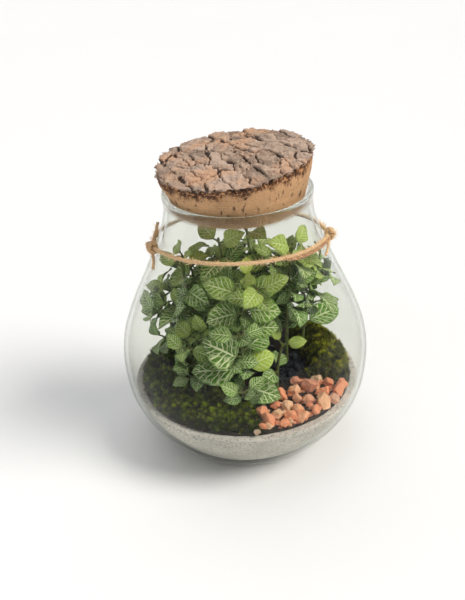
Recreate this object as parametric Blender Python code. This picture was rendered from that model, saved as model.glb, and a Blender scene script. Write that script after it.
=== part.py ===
"""A closed terrarium: a pear-shaped glass jar with a cork stopper, tied round the neck with twine and
planted with mosaic-leaved Fittonia in moss, soil and gravel over a bed of pale sand.

The frame: metres, +Z up, the origin at the centre of the flat underside of the jar, the front towards -Y.
Sizes below are in millimetres and are turned into metres where the meshes are made.
"""

import bisect
import math
import random

import bmesh
import bpy
import numpy as np
from mathutils import Vector
from mathutils.bvhtree import BVHTree

MM = 0.001
GAP = 0.3

# Glass jar: height and outer radius from the base to the rim.
JAR_PROFILE = (
    (0.0, 47.0),
    (1.2, 51.0),
    (4.0, 55.6),
    (10.0, 63.0),
    (16.0, 69.0),
    (31.0, 80.0),
    (46.0, 86.6),
    (61.0, 89.4),
    (76.0, 90.0),
    (90.5, 88.1),
    (105.0, 83.5),
    (119.6, 77.4),
    (134.0, 70.6),
    (148.7, 64.0),
    (163.0, 58.0),
    (177.7, 53.3),
    (188.0, 51.6),
    (194.0, 51.6),
)
HEIGHTS = [height for height, radius in JAR_PROFILE]
RADII = [radius for height, radius in JAR_PROFILE]
JAR_WALL = 3.0
JAR_FLOOR = 7.0
JAR_HEIGHT = 200.0
RIM_LIP = 0.7
JAR_SIDES = 48

# Filling.
FILL_SIDES = 36
SAND_LEVEL = 47.6
SAND_BOWL = ((0.0, 30.0), (45.0, 32.0), (66.0, 38.0), (78.0, 47.6))
SOIL_LEVEL = 49.0
SOIL_RADIUS = 77.4
SOIL_RINGS = (10.0, 20.0, 32.0, 46.0, 62.0)
SOIL_BUMP = 2.6
ROOT_DEPTH = 9.0
ROOT_CLEARANCE = 0.5
HOLE_SIDES = 6
HOLE_ABOVE = 20.0

# Moss cushions: first and last bearing, inner and outer radius, greatest thickness, seed.
MOSS = {
    "moss_left": (138.0, 271.0, 39.0, 80.5, 10.0, 3),
    "moss_right": (-17.0, 48.0, 50.5, 77.0, 16.0, 8),
}

MOSS_STEP = 7.5
MOSS_ROWS = 6

# Stones: x, y, size of each chip; the bed under them is a sector (bearings and radii).
RED_CHIPS = (
    (10, -59, 11), (20, -63, 11), (14, -70, 12), (29, -66, 11), (25, -72, 9), (19, -51, 10),
    (28, -53, 12), (35, -58, 10), (25, -39, 12), (34, -35, 10), (36, -22, 10), (45, -31, 14),
    (44, -47, 12), (38, -66, 10), (54, -51, 13), (48, -60, 10), (55, -38, 11), (66, -37, 12),
    (62, -48, 10), (69, -30, 11), (36, -45, 10), (60, -26, 10), (51, -21, 9), (17, -42, 9),
)
RED_BED = (-84.5, -21.0, 42.0, 75.5)
BLACK_CHIPS = (
    (16, -14, 9), (25, -17, 9), (11, -3, 9), (22, -6, 10), (33, -10, 9), (38, -2, 9), (19, 6, 9),
    (30, 3, 10), (15, 16, 9), (27, 15, 9), (37, 10, 9), (29, 22, 8), (20, 25, 8),
)
BLACK_BED = (24.0, 3.0, 20.0)
PALE_CHIP = (5.6, -79.0, 7.0)
CHIP_POINTS = 10

# Fittonia stems: foot, top, first bearing of the leaf pairs, pairs, leaf length.
STEMS = {
    "fittonia_right_back": ((34, 38), (42, 42, 116), 10, 2, 25),
    "fittonia_left_back": ((-30, 22), (-38, 26, 130), 20, 3, 25),
    "fittonia_back": ((2, 32), (3, 38, 138), 70, 3, 26),
    "fittonia_centre": ((-9, 2), (-15, -4, 164), 150, 5, 26),
    "fittonia_top": ((9, 12), (5, 2, 168), 20, 4, 26),
    "fittonia_left": ((-36, -6), (-42, -10, 150), 115, 4, 25),
    "fittonia_far_left": ((-52, 12), (-61, 4, 122), 70, 3, 24),
    "fittonia_low_left": ((-28, -26), (-35, -31, 100), 60, 2, 24),
    "fittonia_right": ((31, 2), (37, -8, 160), 35, 5, 26),
    "fittonia_far_right": ((44, 16), (57, 2, 138), 30, 3, 28),
    "fittonia_low_right": ((22, -24), (27, -32, 92), 75, 2, 19),
}
# The stem that stands in front, leaf by leaf: height, bearing, pitch, length, width.
FRONT_FOOT = (-3, -42)
FRONT_TOP = (2, -32, 146)
FRONT_LEAVES = (
    (62, -32, 2, 25, 20),
    (64, 140, 15, 20, 15),
    (75, 188, 8, 32, 24),
    (77, 8, 22, 21, 17),
    (86, -150, 42, 29, 27),
    (90, 35, 20, 22, 19),
    (104, 168, 14, 24, 20),
    (107, -16, 12, 21, 17),
    (119, 205, 5, 22, 19),
    (121, -20, 10, 22, 20),
    (133, 175, 22, 25, 18),
    (134, -5, 22, 22, 17),
    (144, -80, 40, 14, 12),
    (145, 80, 50, 14, 10),
)
STEM_RADIUS = 1.5
STEM_SIDES = 6
STEM_STEPS = 5
STALK_LENGTH = 5.0
STALK_RADIUS = 0.75
BLADE = 0.8
BLADE_STEPS = 5
LEAF_WAVE = 0.9
LEAF_FOLD = 14.0
FACE_OUT = 1.1
BUSH_CENTRE = (0.0, 24.0)
BUSH_REACH = 34.0
LEAF_CLEARANCE = 0.5
GLASS_CLEARANCE = 0.9
TRIES = 60

# Cork stopper.
CORK_BOTTOM = 189.5
CORK_RINGS = ((189.5, 44.6), (194.0, 46.4), (200.0, 47.6), (206.0, 49.6), (212.0, 51.8))
CORK_CENTRE = (-2.2, 0.0)
CORK_TOP = 221.5
CORK_SLANT = 0.09
CORK_TOP_RADIUS = 53.8
CORK_DOME = 2.5
CORK_SIDES = 48
BARK_RINGS = (0.94, 0.86, 0.76, 0.64, 0.5, 0.34, 0.17)
BARK_DEPTH = 1.1

# Twine.
TWINE_RADIUS = 1.45
TWINE_HEIGHT = 162.0
TWINE_TILT = 8.0
TWINE_STEPS = 60
TWINE_SIDES = 5
KNOTS = (-164.0, -6.0)
KNOT_LIFT = 2.6
KNOT_SPREAD = 9.0
KNOT_RISE = 0.6
KNOT_HALF = 5.0
KNOT_OUT = 3.7
KNOT_UP = 4.4
KNOT_ROWS = 7
KNOT_SIDES = 9
SECOND_STRAND = (-62.0, -10.0)
SECOND_STEPS = 10
SECOND_BELOW = 2.3

COLOURS = {
    "glass_jar": ((0.86, 0.90, 0.88), 0.03, 0.0),
    "drainage_sand": ((0.52, 0.49, 0.45), 0.9, 0.0),
    "potting_soil": ((0.035, 0.026, 0.018), 0.95, 0.0),
    "moss_left": ((0.035, 0.055, 0.012), 0.95, 0.0),
    "moss_right": ((0.085, 0.11, 0.02), 0.95, 0.0),
    "red_gravel": ((0.48, 0.19, 0.10), 0.85, 0.0),
    "black_gravel": ((0.02, 0.022, 0.025), 0.35, 0.0),
    "pale_stone": ((0.50, 0.34, 0.22), 0.85, 0.0),
    "fittonia": ((0.07, 0.19, 0.05), 0.55, 0.0),
    "cork_stopper": ((0.46, 0.29, 0.16), 0.9, 0.0),
    "twine": ((0.48, 0.30, 0.17), 0.95, 0.0),
}


def clear_scene():
    for thing in list(bpy.data.objects):
        bpy.data.objects.remove(thing)


def make_material(name, look):
    """A Principled material from a colour, a roughness and a metallic share."""
    colour, roughness, metallic = look
    material = bpy.data.materials.new(name)
    material.use_nodes = True
    shader = material.node_tree.nodes["Principled BSDF"]
    shader.inputs["Base Color"].default_value = (*colour, 1.0)
    shader.inputs["Roughness"].default_value = roughness
    shader.inputs["Metallic"].default_value = metallic
    return material


def make_object(name, points, faces, look=None, smooth=False):
    """A closed mesh from points in millimetres, its faces turned outwards."""
    mesh = bpy.data.meshes.new(name)
    mesh.from_pydata([Vector(p) * MM for p in points], [], faces)
    solid = bmesh.new()
    solid.from_mesh(mesh)
    bmesh.ops.recalc_face_normals(solid, faces=solid.faces)
    bmesh.ops.triangulate(solid, faces=[f for f in solid.faces if len(f.verts) > 3])
    solid.to_mesh(mesh)
    solid.free()
    mesh.polygons.foreach_set("use_smooth", [smooth] * len(mesh.polygons))
    thing = bpy.data.objects.new(name, mesh)
    bpy.context.scene.collection.objects.link(thing)
    if look:
        mesh.materials.append(make_material(name, look))
    return thing


def combine(thing, others, operation, solver="MANIFOLD"):
    """Applies one Boolean of all the others to the thing, and removes them."""
    group = bpy.data.collections.new("operands")
    bpy.context.scene.collection.children.link(group)
    for other in others:
        bpy.context.scene.collection.objects.unlink(other)
        group.objects.link(other)
    modifier = thing.modifiers.new("combine", "BOOLEAN")
    modifier.operation = operation
    modifier.operand_type = "COLLECTION"
    modifier.collection = group
    modifier.solver = solver
    graph = bpy.context.evaluated_depsgraph_get()
    mesh = bpy.data.meshes.new_from_object(thing.evaluated_get(graph))
    thing.modifiers.clear()
    mesh.name = thing.name
    thing.data = mesh
    for other in others:
        bpy.data.objects.remove(other)
    bpy.data.collections.remove(group)
    return thing


# Round shapes

def spun_faces(rings, sides):
    """Faces of a body whose points are a first pole, rings of this many sides, and a last pole."""
    faces = []
    last = 1 + rings * sides
    top = last - sides
    for k in range(sides):
        after = (k + 1) % sides
        faces.append((0, 1 + after, 1 + k))
        for low in range(1, top, sides):
            high = low + sides
            faces.append((low + k, low + after, high + after, high + k))
        faces.append((top + k, top + after, last))
    return faces


def spin(profile, sides):
    """A closed body turned round Z from (radius, height) pairs that start and end at the axis."""
    rings = profile[1:-1]
    points = [(0.0, 0.0, profile[0][1])]
    for radius, height in rings:
        for k in range(sides):
            turn = 2 * math.pi * k / sides
            points.append((radius * math.cos(turn), radius * math.sin(turn), height))
    points.append((0.0, 0.0, profile[-1][1]))
    return points, spun_faces(len(rings), sides)


def jar_radius(height):
    """Outer radius of the jar, by a smooth curve through the profile."""
    height = min(max(height, HEIGHTS[0]), HEIGHTS[-1])
    i = max(0, min(bisect.bisect_right(HEIGHTS, height) - 1, len(HEIGHTS) - 2))
    step = HEIGHTS[i + 1] - HEIGHTS[i]
    t = (height - HEIGHTS[i]) / step
    curve = (2 * t**3 - 3 * t**2 + 1) * RADII[i] + (3 * t**2 - 2 * t**3) * RADII[i + 1]
    bend = (t**3 - 2 * t**2 + t) * profile_slope(i) + (t**3 - t**2) * profile_slope(i + 1)
    return curve + step * bend


def profile_slope(k):
    low, high = max(k - 1, 0), min(k + 1, len(HEIGHTS) - 1)
    return (RADII[high] - RADII[low]) / (HEIGHTS[high] - HEIGHTS[low])


def jar_offset(height, distance):
    """Radius and height of the point that lies this far out from the jar's outer surface."""
    slope = jar_radius(height + 0.5) - jar_radius(height - 0.5)
    across = 1 / math.hypot(1, slope)
    return jar_radius(height) + distance * across, height - distance * slope * across


def wall_line(inset, floor, top):
    """Inner line of the jar's wall at this inset, from where it meets the floor up to a height."""
    line = [jar_offset(height, -inset) for height in HEIGHTS[2:]]
    low = [p for p in line if p[1] <= floor + 1.0][-1]
    kept = [p for p in line if floor + 1.0 < p[1] < top - 1.0]
    share = max(floor - low[1], 0.0) / (kept[0][1] - low[1])
    return [(low[0] + (kept[0][0] - low[0]) * share, floor), *kept]


def wall_radius(height, inset):
    """Radius at which the inner line of the wall, at this inset, reaches a height."""
    line = [jar_offset(h, -inset) for h in HEIGHTS[2:]]
    return float(np.interp(height, [z for r, z in line], [r for r, z in line]))


def jar_profile():
    """Outline of the glass from the middle of its underside, over the rim, to the middle of its floor."""
    outer = list(zip(RADII, HEIGHTS))
    inner = wall_line(JAR_WALL, JAR_FLOOR, JAR_HEIGHT)
    inner_rim = inner[-1][0]
    outer_rim = RADII[-1]
    lip = [
        (outer_rim + RIM_LIP, JAR_HEIGHT - 3.2),
        (outer_rim + RIM_LIP - 0.4, JAR_HEIGHT - 0.8),
        (outer_rim - 1.1, JAR_HEIGHT),
        (inner_rim + 0.6, JAR_HEIGHT - 0.3),
        (inner_rim, JAR_HEIGHT - 1.8),
    ]
    return [(0.0, 0.0), *outer, *lip, *reversed(inner), (0.0, JAR_FLOOR)]


def build_jar():
    points, faces = spin(jar_profile(), JAR_SIDES)
    return make_object("glass_jar", points, faces, COLOURS["glass_jar"], smooth=True)


def build_sand():
    wall = wall_line(JAR_WALL + GAP, JAR_FLOOR + GAP, SAND_LEVEL)
    edge = wall_radius(SAND_LEVEL, JAR_WALL + GAP)
    bowl = [(radius, height) for radius, height in reversed(SAND_BOWL)]
    profile = [(0.0, JAR_FLOOR + GAP), *wall, (edge, SAND_LEVEL), *bowl]
    points, faces = spin(profile, FILL_SIDES)
    return make_object("drainage_sand", points, faces, COLOURS["drainage_sand"], smooth=True)


# Ground

def waves(x, y, seed):
    """A smooth, uneven field between about -1 and 1 over the plan, with waves some 10 mm long."""
    rng = random.Random(seed)
    total = 0.0
    for _ in range(5):
        turn = rng.uniform(0, 2 * math.pi)
        long = rng.uniform(9.0, 26.0)
        phase = rng.uniform(0, 2 * math.pi)
        total += math.sin(2 * math.pi * (x * math.cos(turn) + y * math.sin(turn)) / long + phase)
    return total / 3.2


def open_soil(x, y):
    """How far a spot lies in the soil that nothing covers: 1 there, 0 under moss and gravel."""
    radius = math.hypot(x, y)
    middle = ramp(17.0 - math.hypot(x + 14, y - 12), 8) * (radius < 26)
    back = ramp(y - 32, 10) * ramp(70 - radius, 8) * ramp(22 - abs(x), 10)
    return max(middle, back)


def ramp(distance, width):
    """0 below nothing, 1 above the width, straight between."""
    return max(0.0, min(1.0, distance / width))


def soil_height(x, y):
    return SOIL_LEVEL + open_soil(x, y) * SOIL_BUMP * (0.6 + 0.4 * waves(x, y, 5))


def build_soil(feet):
    lower = [(r, z + GAP) for r, z in SAND_BOWL[1:-1]]
    (r0, z0), (r1, z1) = SAND_BOWL[-2:]
    brink = z0 + (z1 - z0) * (SOIL_RADIUS - r0) / (r1 - r0)
    profile = [(0.0, SAND_BOWL[0][1] + GAP), *lower, (SOIL_RADIUS, brink + GAP)]
    profile += [(SOIL_RADIUS, SOIL_LEVEL)]
    profile += [(r, SOIL_LEVEL) for r in reversed(SOIL_RINGS)]
    profile += [(0.0, SOIL_LEVEL)]
    points, faces = spin(profile, FILL_SIDES)
    points = [
        (x, y, soil_height(x, y)) if z == SOIL_LEVEL and math.hypot(x, y) < 72 else (x, y, z)
        for x, y, z in points
    ]
    soil = make_object("potting_soil", points, faces, COLOURS["potting_soil"])
    return combine(soil, root_holes(feet, SOIL_LEVEL - ROOT_DEPTH - GAP), "DIFFERENCE")


def root_holes(feet, bottom):
    holes = []
    for x, y in feet:
        radius = STEM_RADIUS + ROOT_CLEARANCE
        top = SOIL_LEVEL + HOLE_ABOVE
        profile = [(0.0, bottom), (radius, bottom), (radius, top), (0.0, top)]
        points, faces = spin(profile, HOLE_SIDES)
        holes.append(make_object("hole", [(px + x, py + y, pz) for px, py, pz in points], faces))
    return holes


def moss_thickness(share_along, share_across, x, y, greatest, seed):
    """Thickness of a cushion: thin at the edge, full inside, uneven all over."""
    along = 1 - abs(2 * share_along - 1) ** 5
    across = 1 - abs(2 * share_across - 1) ** 3
    body = 0.22 + 0.78 * max(along, 0.0) ** 0.6 * max(across, 0.0) ** 0.7
    return greatest * body * (0.84 + 0.16 * waves(x, y, seed))


def build_moss(name, feet):
    first, last, *_, greatest, seed = MOSS[name]
    steps = round((last - first) / MOSS_STEP)
    bottom, top = [], []
    for i in range(steps + 1):
        for j in range(MOSS_ROWS + 1):
            along, across = i / steps, j / MOSS_ROWS
            x, y = moss_spot(along, across, MOSS[name])
            thick = moss_thickness(along, across, x, y, greatest, seed)
            bottom.append((x, y, SOIL_LEVEL + GAP))
            top.append((x, y, SOIL_LEVEL + GAP + thick))
    points, faces = slab(bottom, top, steps, MOSS_ROWS)
    moss = make_object(name, points, faces, COLOURS[name])
    return combine(moss, root_holes(feet, SOIL_LEVEL - 2), "DIFFERENCE")


def moss_spot(along, across, cushion):
    """Plan position in a cushion, from its first bearing to its last and from its inner edge to its outer."""
    first, last, inner, outer, _, seed = cushion
    end_wave = 2.6 * waves(80 * across, 0, seed + 2) * (2 * along - 1) ** 3
    turn = math.radians(first + (last - first) * along + end_wave)
    ragged = waves(60 * math.cos(turn), 60 * math.sin(turn), seed + 1)
    radius = inner + (outer - inner) * across
    radius += 3.0 * ragged * (1 - across) ** 2 - 2.2 * abs(ragged) * across**3
    return radius * math.cos(turn), radius * math.sin(turn)


def slab(bottom, top, columns, rows):
    """A closed body between two grids of the same layout."""
    count = len(bottom)
    wide = rows + 1
    faces = []
    for i in range(columns):
        for j in range(rows):
            a = i * wide + j
            b, c, d = a + 1, a + wide + 1, a + wide
            faces += [(a, b, c), (a, c, d)]
            faces += [(count + a, count + c, count + b), (count + a, count + d, count + c)]
    rim = [j for j in range(wide)]
    rim += [i * wide + rows for i in range(1, columns + 1)]
    rim += [columns * wide + j for j in range(rows - 1, -1, -1)]
    rim += [i * wide for i in range(columns - 1, 0, -1)]
    for k, a in enumerate(rim):
        b = rim[(k + 1) % len(rim)]
        faces += [(a, count + a, count + b), (a, count + b, b)]
    return bottom + top, faces


# Stones

def chip_points(x, y, size, rng, ground):
    """Corners of one angular chip lying on the ground."""
    turn = rng.uniform(0, math.pi)
    long = size * rng.uniform(1.0, 1.2) / 2
    wide = size * rng.uniform(0.75, 0.95) / 2
    tall = size * rng.uniform(0.7, 0.95) / 2
    lean = rng.uniform(-0.35, 0.35)
    corners = []
    for k in range(CHIP_POINTS):
        up = 1 - 2 * (k + 0.5) / CHIP_POINTS
        around = k * 2.4 + rng.uniform(-0.5, 0.5)
        flat = math.sqrt(1 - up * up)
        px = long * flat * math.cos(around)
        py = wide * flat * math.sin(around)
        pz = tall * up + lean * px
        gx = x + px * math.cos(turn) - py * math.sin(turn)
        gy = y + px * math.sin(turn) + py * math.cos(turn)
        corners.append((gx, gy, max(ground + tall * 0.75 + pz, ground)))
    return corners


def hull(name, points, look=None):
    """The convex body round some points."""
    solid = bmesh.new()
    for p in points:
        solid.verts.new(Vector(p) * MM)
    found = bmesh.ops.convex_hull(solid, input=solid.verts)
    loose = [v for v in found["geom_interior"] if isinstance(v, bmesh.types.BMVert)]
    loose += [v for v in found["geom_unused"] if isinstance(v, bmesh.types.BMVert)]
    bmesh.ops.delete(solid, geom=list(set(loose)), context="VERTS")
    bmesh.ops.recalc_face_normals(solid, faces=solid.faces)
    bmesh.ops.triangulate(solid, faces=solid.faces)
    mesh = bpy.data.meshes.new(name)
    solid.to_mesh(mesh)
    solid.free()
    thing = bpy.data.objects.new(name, mesh)
    bpy.context.scene.collection.objects.link(thing)
    if look:
        mesh.materials.append(make_material(name, look))
    return thing


def sector_slab(first, last, inner, outer, low, high):
    columns = max(2, round((last - first) / 9))
    bottom, top = [], []
    for i in range(columns + 1):
        turn = math.radians(first + (last - first) * i / columns)
        for radius in (inner, outer):
            bottom.append((radius * math.cos(turn), radius * math.sin(turn), low))
            top.append((radius * math.cos(turn), radius * math.sin(turn), high))
    return slab(bottom, top, columns, 1)


def disc_slab(x, y, radius, low, high, sides):
    points, faces = spin([(0.0, low), (radius, low), (radius, high), (0.0, high)], sides)
    return [(px + x, py + y, pz) for px, py, pz in points], faces


def build_chips(name, chips, bed, seed, feet):
    """Chips fused to the thin bed of grit that they lie in."""
    rng = random.Random(seed)
    ground = SOIL_LEVEL + GAP
    thing = make_object(name, *bed, COLOURS[name])
    stones = []
    for x, y, size in chips:
        lift = rng.uniform(0.0, 1.2)
        stones.append(hull("chip", chip_points(x, y, size, rng, ground + 0.2 + lift)))
    combine(thing, stones, "UNION")
    return combine(thing, root_holes(feet, SOIL_LEVEL - 2), "DIFFERENCE")


def build_gravel(feet):
    ground = SOIL_LEVEL + GAP
    red = sector_slab(*RED_BED, ground, ground + 2.2)
    radius_x, centre_y, reach = BLACK_BED
    black = disc_slab(radius_x, centre_y, reach, ground, ground + 1.8, 20)
    return [
        build_chips("red_gravel", RED_CHIPS, red, 11, feet),
        build_chips("black_gravel", BLACK_CHIPS, black, 12, feet),
    ]


def build_pale_stone():
    x, y, size = PALE_CHIP
    corners = chip_points(x, y, size, random.Random(4), SOIL_LEVEL + GAP)
    return hull("pale_stone", corners, COLOURS["pale_stone"])


# Plants

def light_at(spot):
    """The way a leaf's face turns: up, and outwards from the bush where the light comes from."""
    out = Vector((spot.x - BUSH_CENTRE[0], spot.y - BUSH_CENTRE[1], 0)) / BUSH_REACH
    if out.length > 1:
        out.normalize()
    return out * FACE_OUT + Vector((0, 0, 1))


class Leaf:
    """One blade: where it starts, the way its midrib and its face point, and its form."""

    def __init__(self, start, bearing, pitch, roll, length, width, droop, phase):
        turn, rise, tilt = math.radians(bearing), math.radians(pitch), math.radians(roll)
        flat = Vector((math.cos(turn), math.sin(turn), 0))
        self.along = flat * math.cos(rise) + Vector((0, 0, math.sin(rise)))
        light = light_at(Vector(start) + flat * length / 2)
        up = (light - self.along * light.dot(self.along)).normalized()
        self.face = up * math.cos(tilt) + up.cross(self.along) * math.sin(tilt)
        self.side = self.face.cross(self.along)
        self.start = Vector(start) + flat * STALK_LENGTH + Vector((0, 0, STALK_LENGTH * 0.35))
        self.foot = Vector(start)
        self.length, self.width = length, width
        self.droop, self.phase = math.radians(droop), phase

    def point(self, u, v, lift=0.0):
        """The point at a share of the length and a share of the half width, off the middle surface."""
        half = 0.5 * self.width * blade_width(u)
        bow = self.droop * u
        reach = self.length * math.sin(bow) / self.droop
        sink = self.length * (1 - math.cos(bow)) / self.droop
        fold = math.radians(LEAF_FOLD)
        wave = LEAF_WAVE * math.sin(3 * math.pi * u + self.phase + (1.3 if v < 0 else 0)) * v * v
        rise = abs(v) * half * math.sin(fold) + wave + lift
        across = v * half * math.cos(fold)
        flat = self.along * (reach + rise * math.sin(bow))
        return self.start + flat + self.face * (rise * math.cos(bow) - sink) + self.side * across


def blade_width(u):
    """Outline of the ovate blade: its half width as a share of the greatest."""
    return max(math.sin(math.pi * u**0.78) ** 0.9 if 0 < u < 1 else 0.0, 0.09)


def blade_mesh(leaf, thick):
    """The blade alone, as a closed body."""
    rings = [blade_ring(leaf, k / BLADE_STEPS, thick) for k in range(BLADE_STEPS + 1)]
    return loft(rings)


def leaf_mesh(leaf, extra=0.0):
    """The blade with its stalk, which starts inside the stem, as one closed body."""
    middle = (leaf.foot + leaf.start) / 2 + Vector((0, 0, 0.6))
    rings = [stalk_ring(leaf, leaf.foot, 1.1, extra), stalk_ring(leaf, middle, 0.9, extra)]
    rings += [blade_ring(leaf, k / BLADE_STEPS, BLADE + 2 * extra) for k in range(BLADE_STEPS + 1)]
    return loft(rings)


def blade_ring(leaf, u, thick):
    """Six points round the blade at a share of its length: edge, midrib, edge, below and then above."""
    low = [leaf.point(u, v, -thick / 2) for v in (-1, 0, 1)]
    return low + [leaf.point(u, v, thick / 2) for v in (1, 0, -1)]


def stalk_ring(leaf, centre, share, extra):
    radius = STALK_RADIUS * share + extra
    ring = []
    for degrees in (210, 270, 330, 30, 90, 150):
        turn = math.radians(degrees)
        ring.append(centre + radius * (leaf.side * math.cos(turn) + leaf.face * math.sin(turn)))
    return ring


def loft(rings):
    """A closed body through rings of six points."""
    points = [tuple(p) for ring in rings for p in ring]
    faces = []
    for k in range(len(rings) - 1):
        for s in range(6):
            a, b = 6 * k + s, 6 * k + (s + 1) % 6
            faces += [(a, b, b + 6), (a, b + 6, a + 6)]
    end = 6 * (len(rings) - 1)
    for first, order in ((0, 1), (end, -1)):
        for corners in ((0, 5, 4), (0, 4, 1), (1, 4, 3), (1, 3, 2)):
            faces.append(tuple(first + c for c in corners[::order]))
    return points, faces


def tube(path, radii, sides):
    """A closed tube through points, with a radius at each."""
    points, faces = [], []
    path = [Vector(p) for p in path]
    side = None
    for k, p in enumerate(path):
        way = (path[min(k + 1, len(path) - 1)] - path[max(k - 1, 0)]).normalized()
        if side is None:
            side = way.orthogonal().normalized()
        side = (side - way * side.dot(way)).normalized()
        other = way.cross(side)
        for s in range(sides):
            turn = 2 * math.pi * s / sides
            points.append(p + radii[k] * (side * math.cos(turn) + other * math.sin(turn)))
    for k in range(len(path) - 1):
        for s in range(sides):
            after = (s + 1) % sides
            low, high = k * sides, (k + 1) * sides
            faces.append((low + s, low + after, high + after, high + s))
    faces.append(tuple(range(sides - 1, -1, -1)))
    top = (len(path) - 1) * sides
    faces.append(tuple(top + s for s in range(sides)))
    return [tuple(p) for p in points], faces


def stem_point(foot, top, share):
    """A stem rises straight from the soil, then leans over to its top."""
    base = Vector((foot[0], foot[1], SOIL_LEVEL))
    tip = Vector(top)
    elbow = base + Vector((0, 0, 0.55 * (tip.z - base.z)))
    return base * (1 - share) ** 2 + elbow * 2 * share * (1 - share) + tip * share**2


def stem_mesh(foot, top, extra=0.0):
    steps = [stem_point(foot, top, k / STEM_STEPS) for k in range(STEM_STEPS + 1)]
    path = [Vector((foot[0], foot[1], SOIL_LEVEL - ROOT_DEPTH)), *steps]
    radii = [STEM_RADIUS] + [STEM_RADIUS * (1 - 0.45 * k / STEM_STEPS) for k in range(STEM_STEPS + 1)]
    return tube(path, [radius + extra for radius in radii], STEM_SIDES)


def tree_of(points, faces):
    return BVHTree.FromPolygons([Vector(p) for p in points], faces)


def in_glass(leaf):
    """Whether the blade keeps clear of the glass and the ground."""
    for u in (0.0, 0.25, 0.5, 0.75, 1.0):
        for v in (-1, 0, 1):
            p = leaf.point(u, v)
            limit = wall_radius(p.z, JAR_WALL) - GLASS_CLEARANCE
            if math.hypot(p.x, p.y) > limit or p.z < SOIL_LEVEL + 4:
                return False
    return True


class Thicket:
    """Places leaves one by one so that none touches another stem, its leaves, the ground or the glass."""

    def __init__(self, ground):
        self.taken = [("ground", tree) for tree in ground]
        self.blades = []
        self.rng = random.Random(21)

    def claim(self, owner, mesh):
        self.taken.append((owner, tree_of(*mesh)))

    def blocked(self, owner, leaf):
        """Whether the leaf meets another stem's shapes, or its blade another blade of its own stem."""
        whole = tree_of(*leaf_mesh(leaf, LEAF_CLEARANCE))
        if any(whole.overlap(tree) for held, tree in self.taken if held != owner):
            return True
        blade = tree_of(*blade_mesh(leaf, BLADE + LEAF_CLEARANCE))
        return any(blade.overlap(tree) for held, tree in self.blades if held == owner)

    def place(self, owner, start, wanted):
        """The first clear leaf near the wanted one, or None."""
        bearing, pitch, roll, length, width, droop = wanted
        for attempt in range(TRIES):
            loose = min(attempt, 30)
            leaf = Leaf(
                start,
                bearing + self.rng.gauss(0, 1.0) * loose,
                pitch + self.rng.gauss(0, 0.8) * loose,
                roll + self.rng.gauss(0, 0.6) * loose,
                length * (1 - 0.006 * attempt),
                width * (1 - 0.006 * attempt),
                droop,
                self.rng.uniform(0, 6.28),
            )
            if in_glass(leaf) and not self.blocked(owner, leaf):
                self.claim(owner, leaf_mesh(leaf, LEAF_CLEARANCE))
                self.blades.append((owner, tree_of(*blade_mesh(leaf, BLADE + LEAF_CLEARANCE))))
                return leaf
        return None


def paired_leaves(name, rng):
    """Leaves in crossed pairs up a stem: share of its height, bearing, pitch, roll, length, width, droop."""
    first, pairs, size = STEMS[name][2:]
    wanted = []
    for k in range(pairs):
        share = 0.32 + 0.64 * k / max(pairs - 1, 1)
        young = max(0.0, (share - 0.75) / 0.25)
        for half in (0, 180):
            bearing = first + 90 * k + half + rng.uniform(-14, 14)
            length = size * rng.uniform(0.88, 1.1) * (1 - 0.38 * young)
            width = length * rng.uniform(0.68, 0.78)
            pitch = rng.uniform(4, 24) + 20 * young
            roll = rng.uniform(-10, 10)
            wanted.append((share, bearing, pitch, roll, length, width, rng.uniform(30, 55)))
    return wanted


def front_leaves():
    wanted = []
    for height, bearing, pitch, length, width in FRONT_LEAVES:
        share = (height - SOIL_LEVEL) / (FRONT_TOP[2] - SOIL_LEVEL)
        wanted.append((share, bearing, pitch, 0.0, length, width, 40.0))
    return wanted


def plan_plants(ground):
    """Every stem with its leaves, placed from the front stem backwards."""
    stems = {"fittonia_front": (FRONT_FOOT, FRONT_TOP)}
    for name in reversed(list(STEMS)):
        stems[name] = STEMS[name][:2]
    thicket = Thicket(ground)
    for name, (foot, top) in stems.items():
        thicket.claim(name, stem_mesh(foot, top, LEAF_CLEARANCE))
    plan = {}
    for number, (name, (foot, top)) in enumerate(stems.items()):
        rng = random.Random(100 + number)
        wanted = front_leaves() if name == "fittonia_front" else paired_leaves(name, rng)
        leaves = []
        for share, *rest in wanted:
            leaf = thicket.place(name, stem_point(foot, top, share), rest)
            if leaf:
                leaves.append(leaf)
        plan[name] = (foot, top, leaves)
    return plan


def build_plants(ground):
    plants = []
    for name, (foot, top, leaves) in plan_plants(ground).items():
        plant = make_object(name, *stem_mesh(foot, top), COLOURS["fittonia"], smooth=True)
        pieces = [make_object("leaf", *leaf_mesh(leaf)) for leaf in leaves]
        plants.append(combine(plant, pieces, "UNION"))
    return plants


# Cork stopper

def cork_outline(turn):
    """Share by which the natural edge of the cork differs from a circle."""
    coarse = 0.014 * math.sin(3 * turn + 0.6) + 0.010 * math.sin(5 * turn + 2.1)
    return 1 + coarse + 0.009 * math.sin(8 * turn + 0.4)


def bark_relief(x, y):
    """Uneven plates of bark with furrows between them."""
    plates = 0.5 * waves(1.3 * x, 0.9 * y, 31) + 0.5 * waves(x * 0.6 + y * 0.5, y * 1.4, 32)
    furrow = abs(math.sin((0.8 * x - 0.75 * y) / 7.5 + 1.2 * waves(x, y, 33)))
    return BARK_DEPTH * (plates + 0.8 * furrow**0.5 - 0.5)


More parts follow.
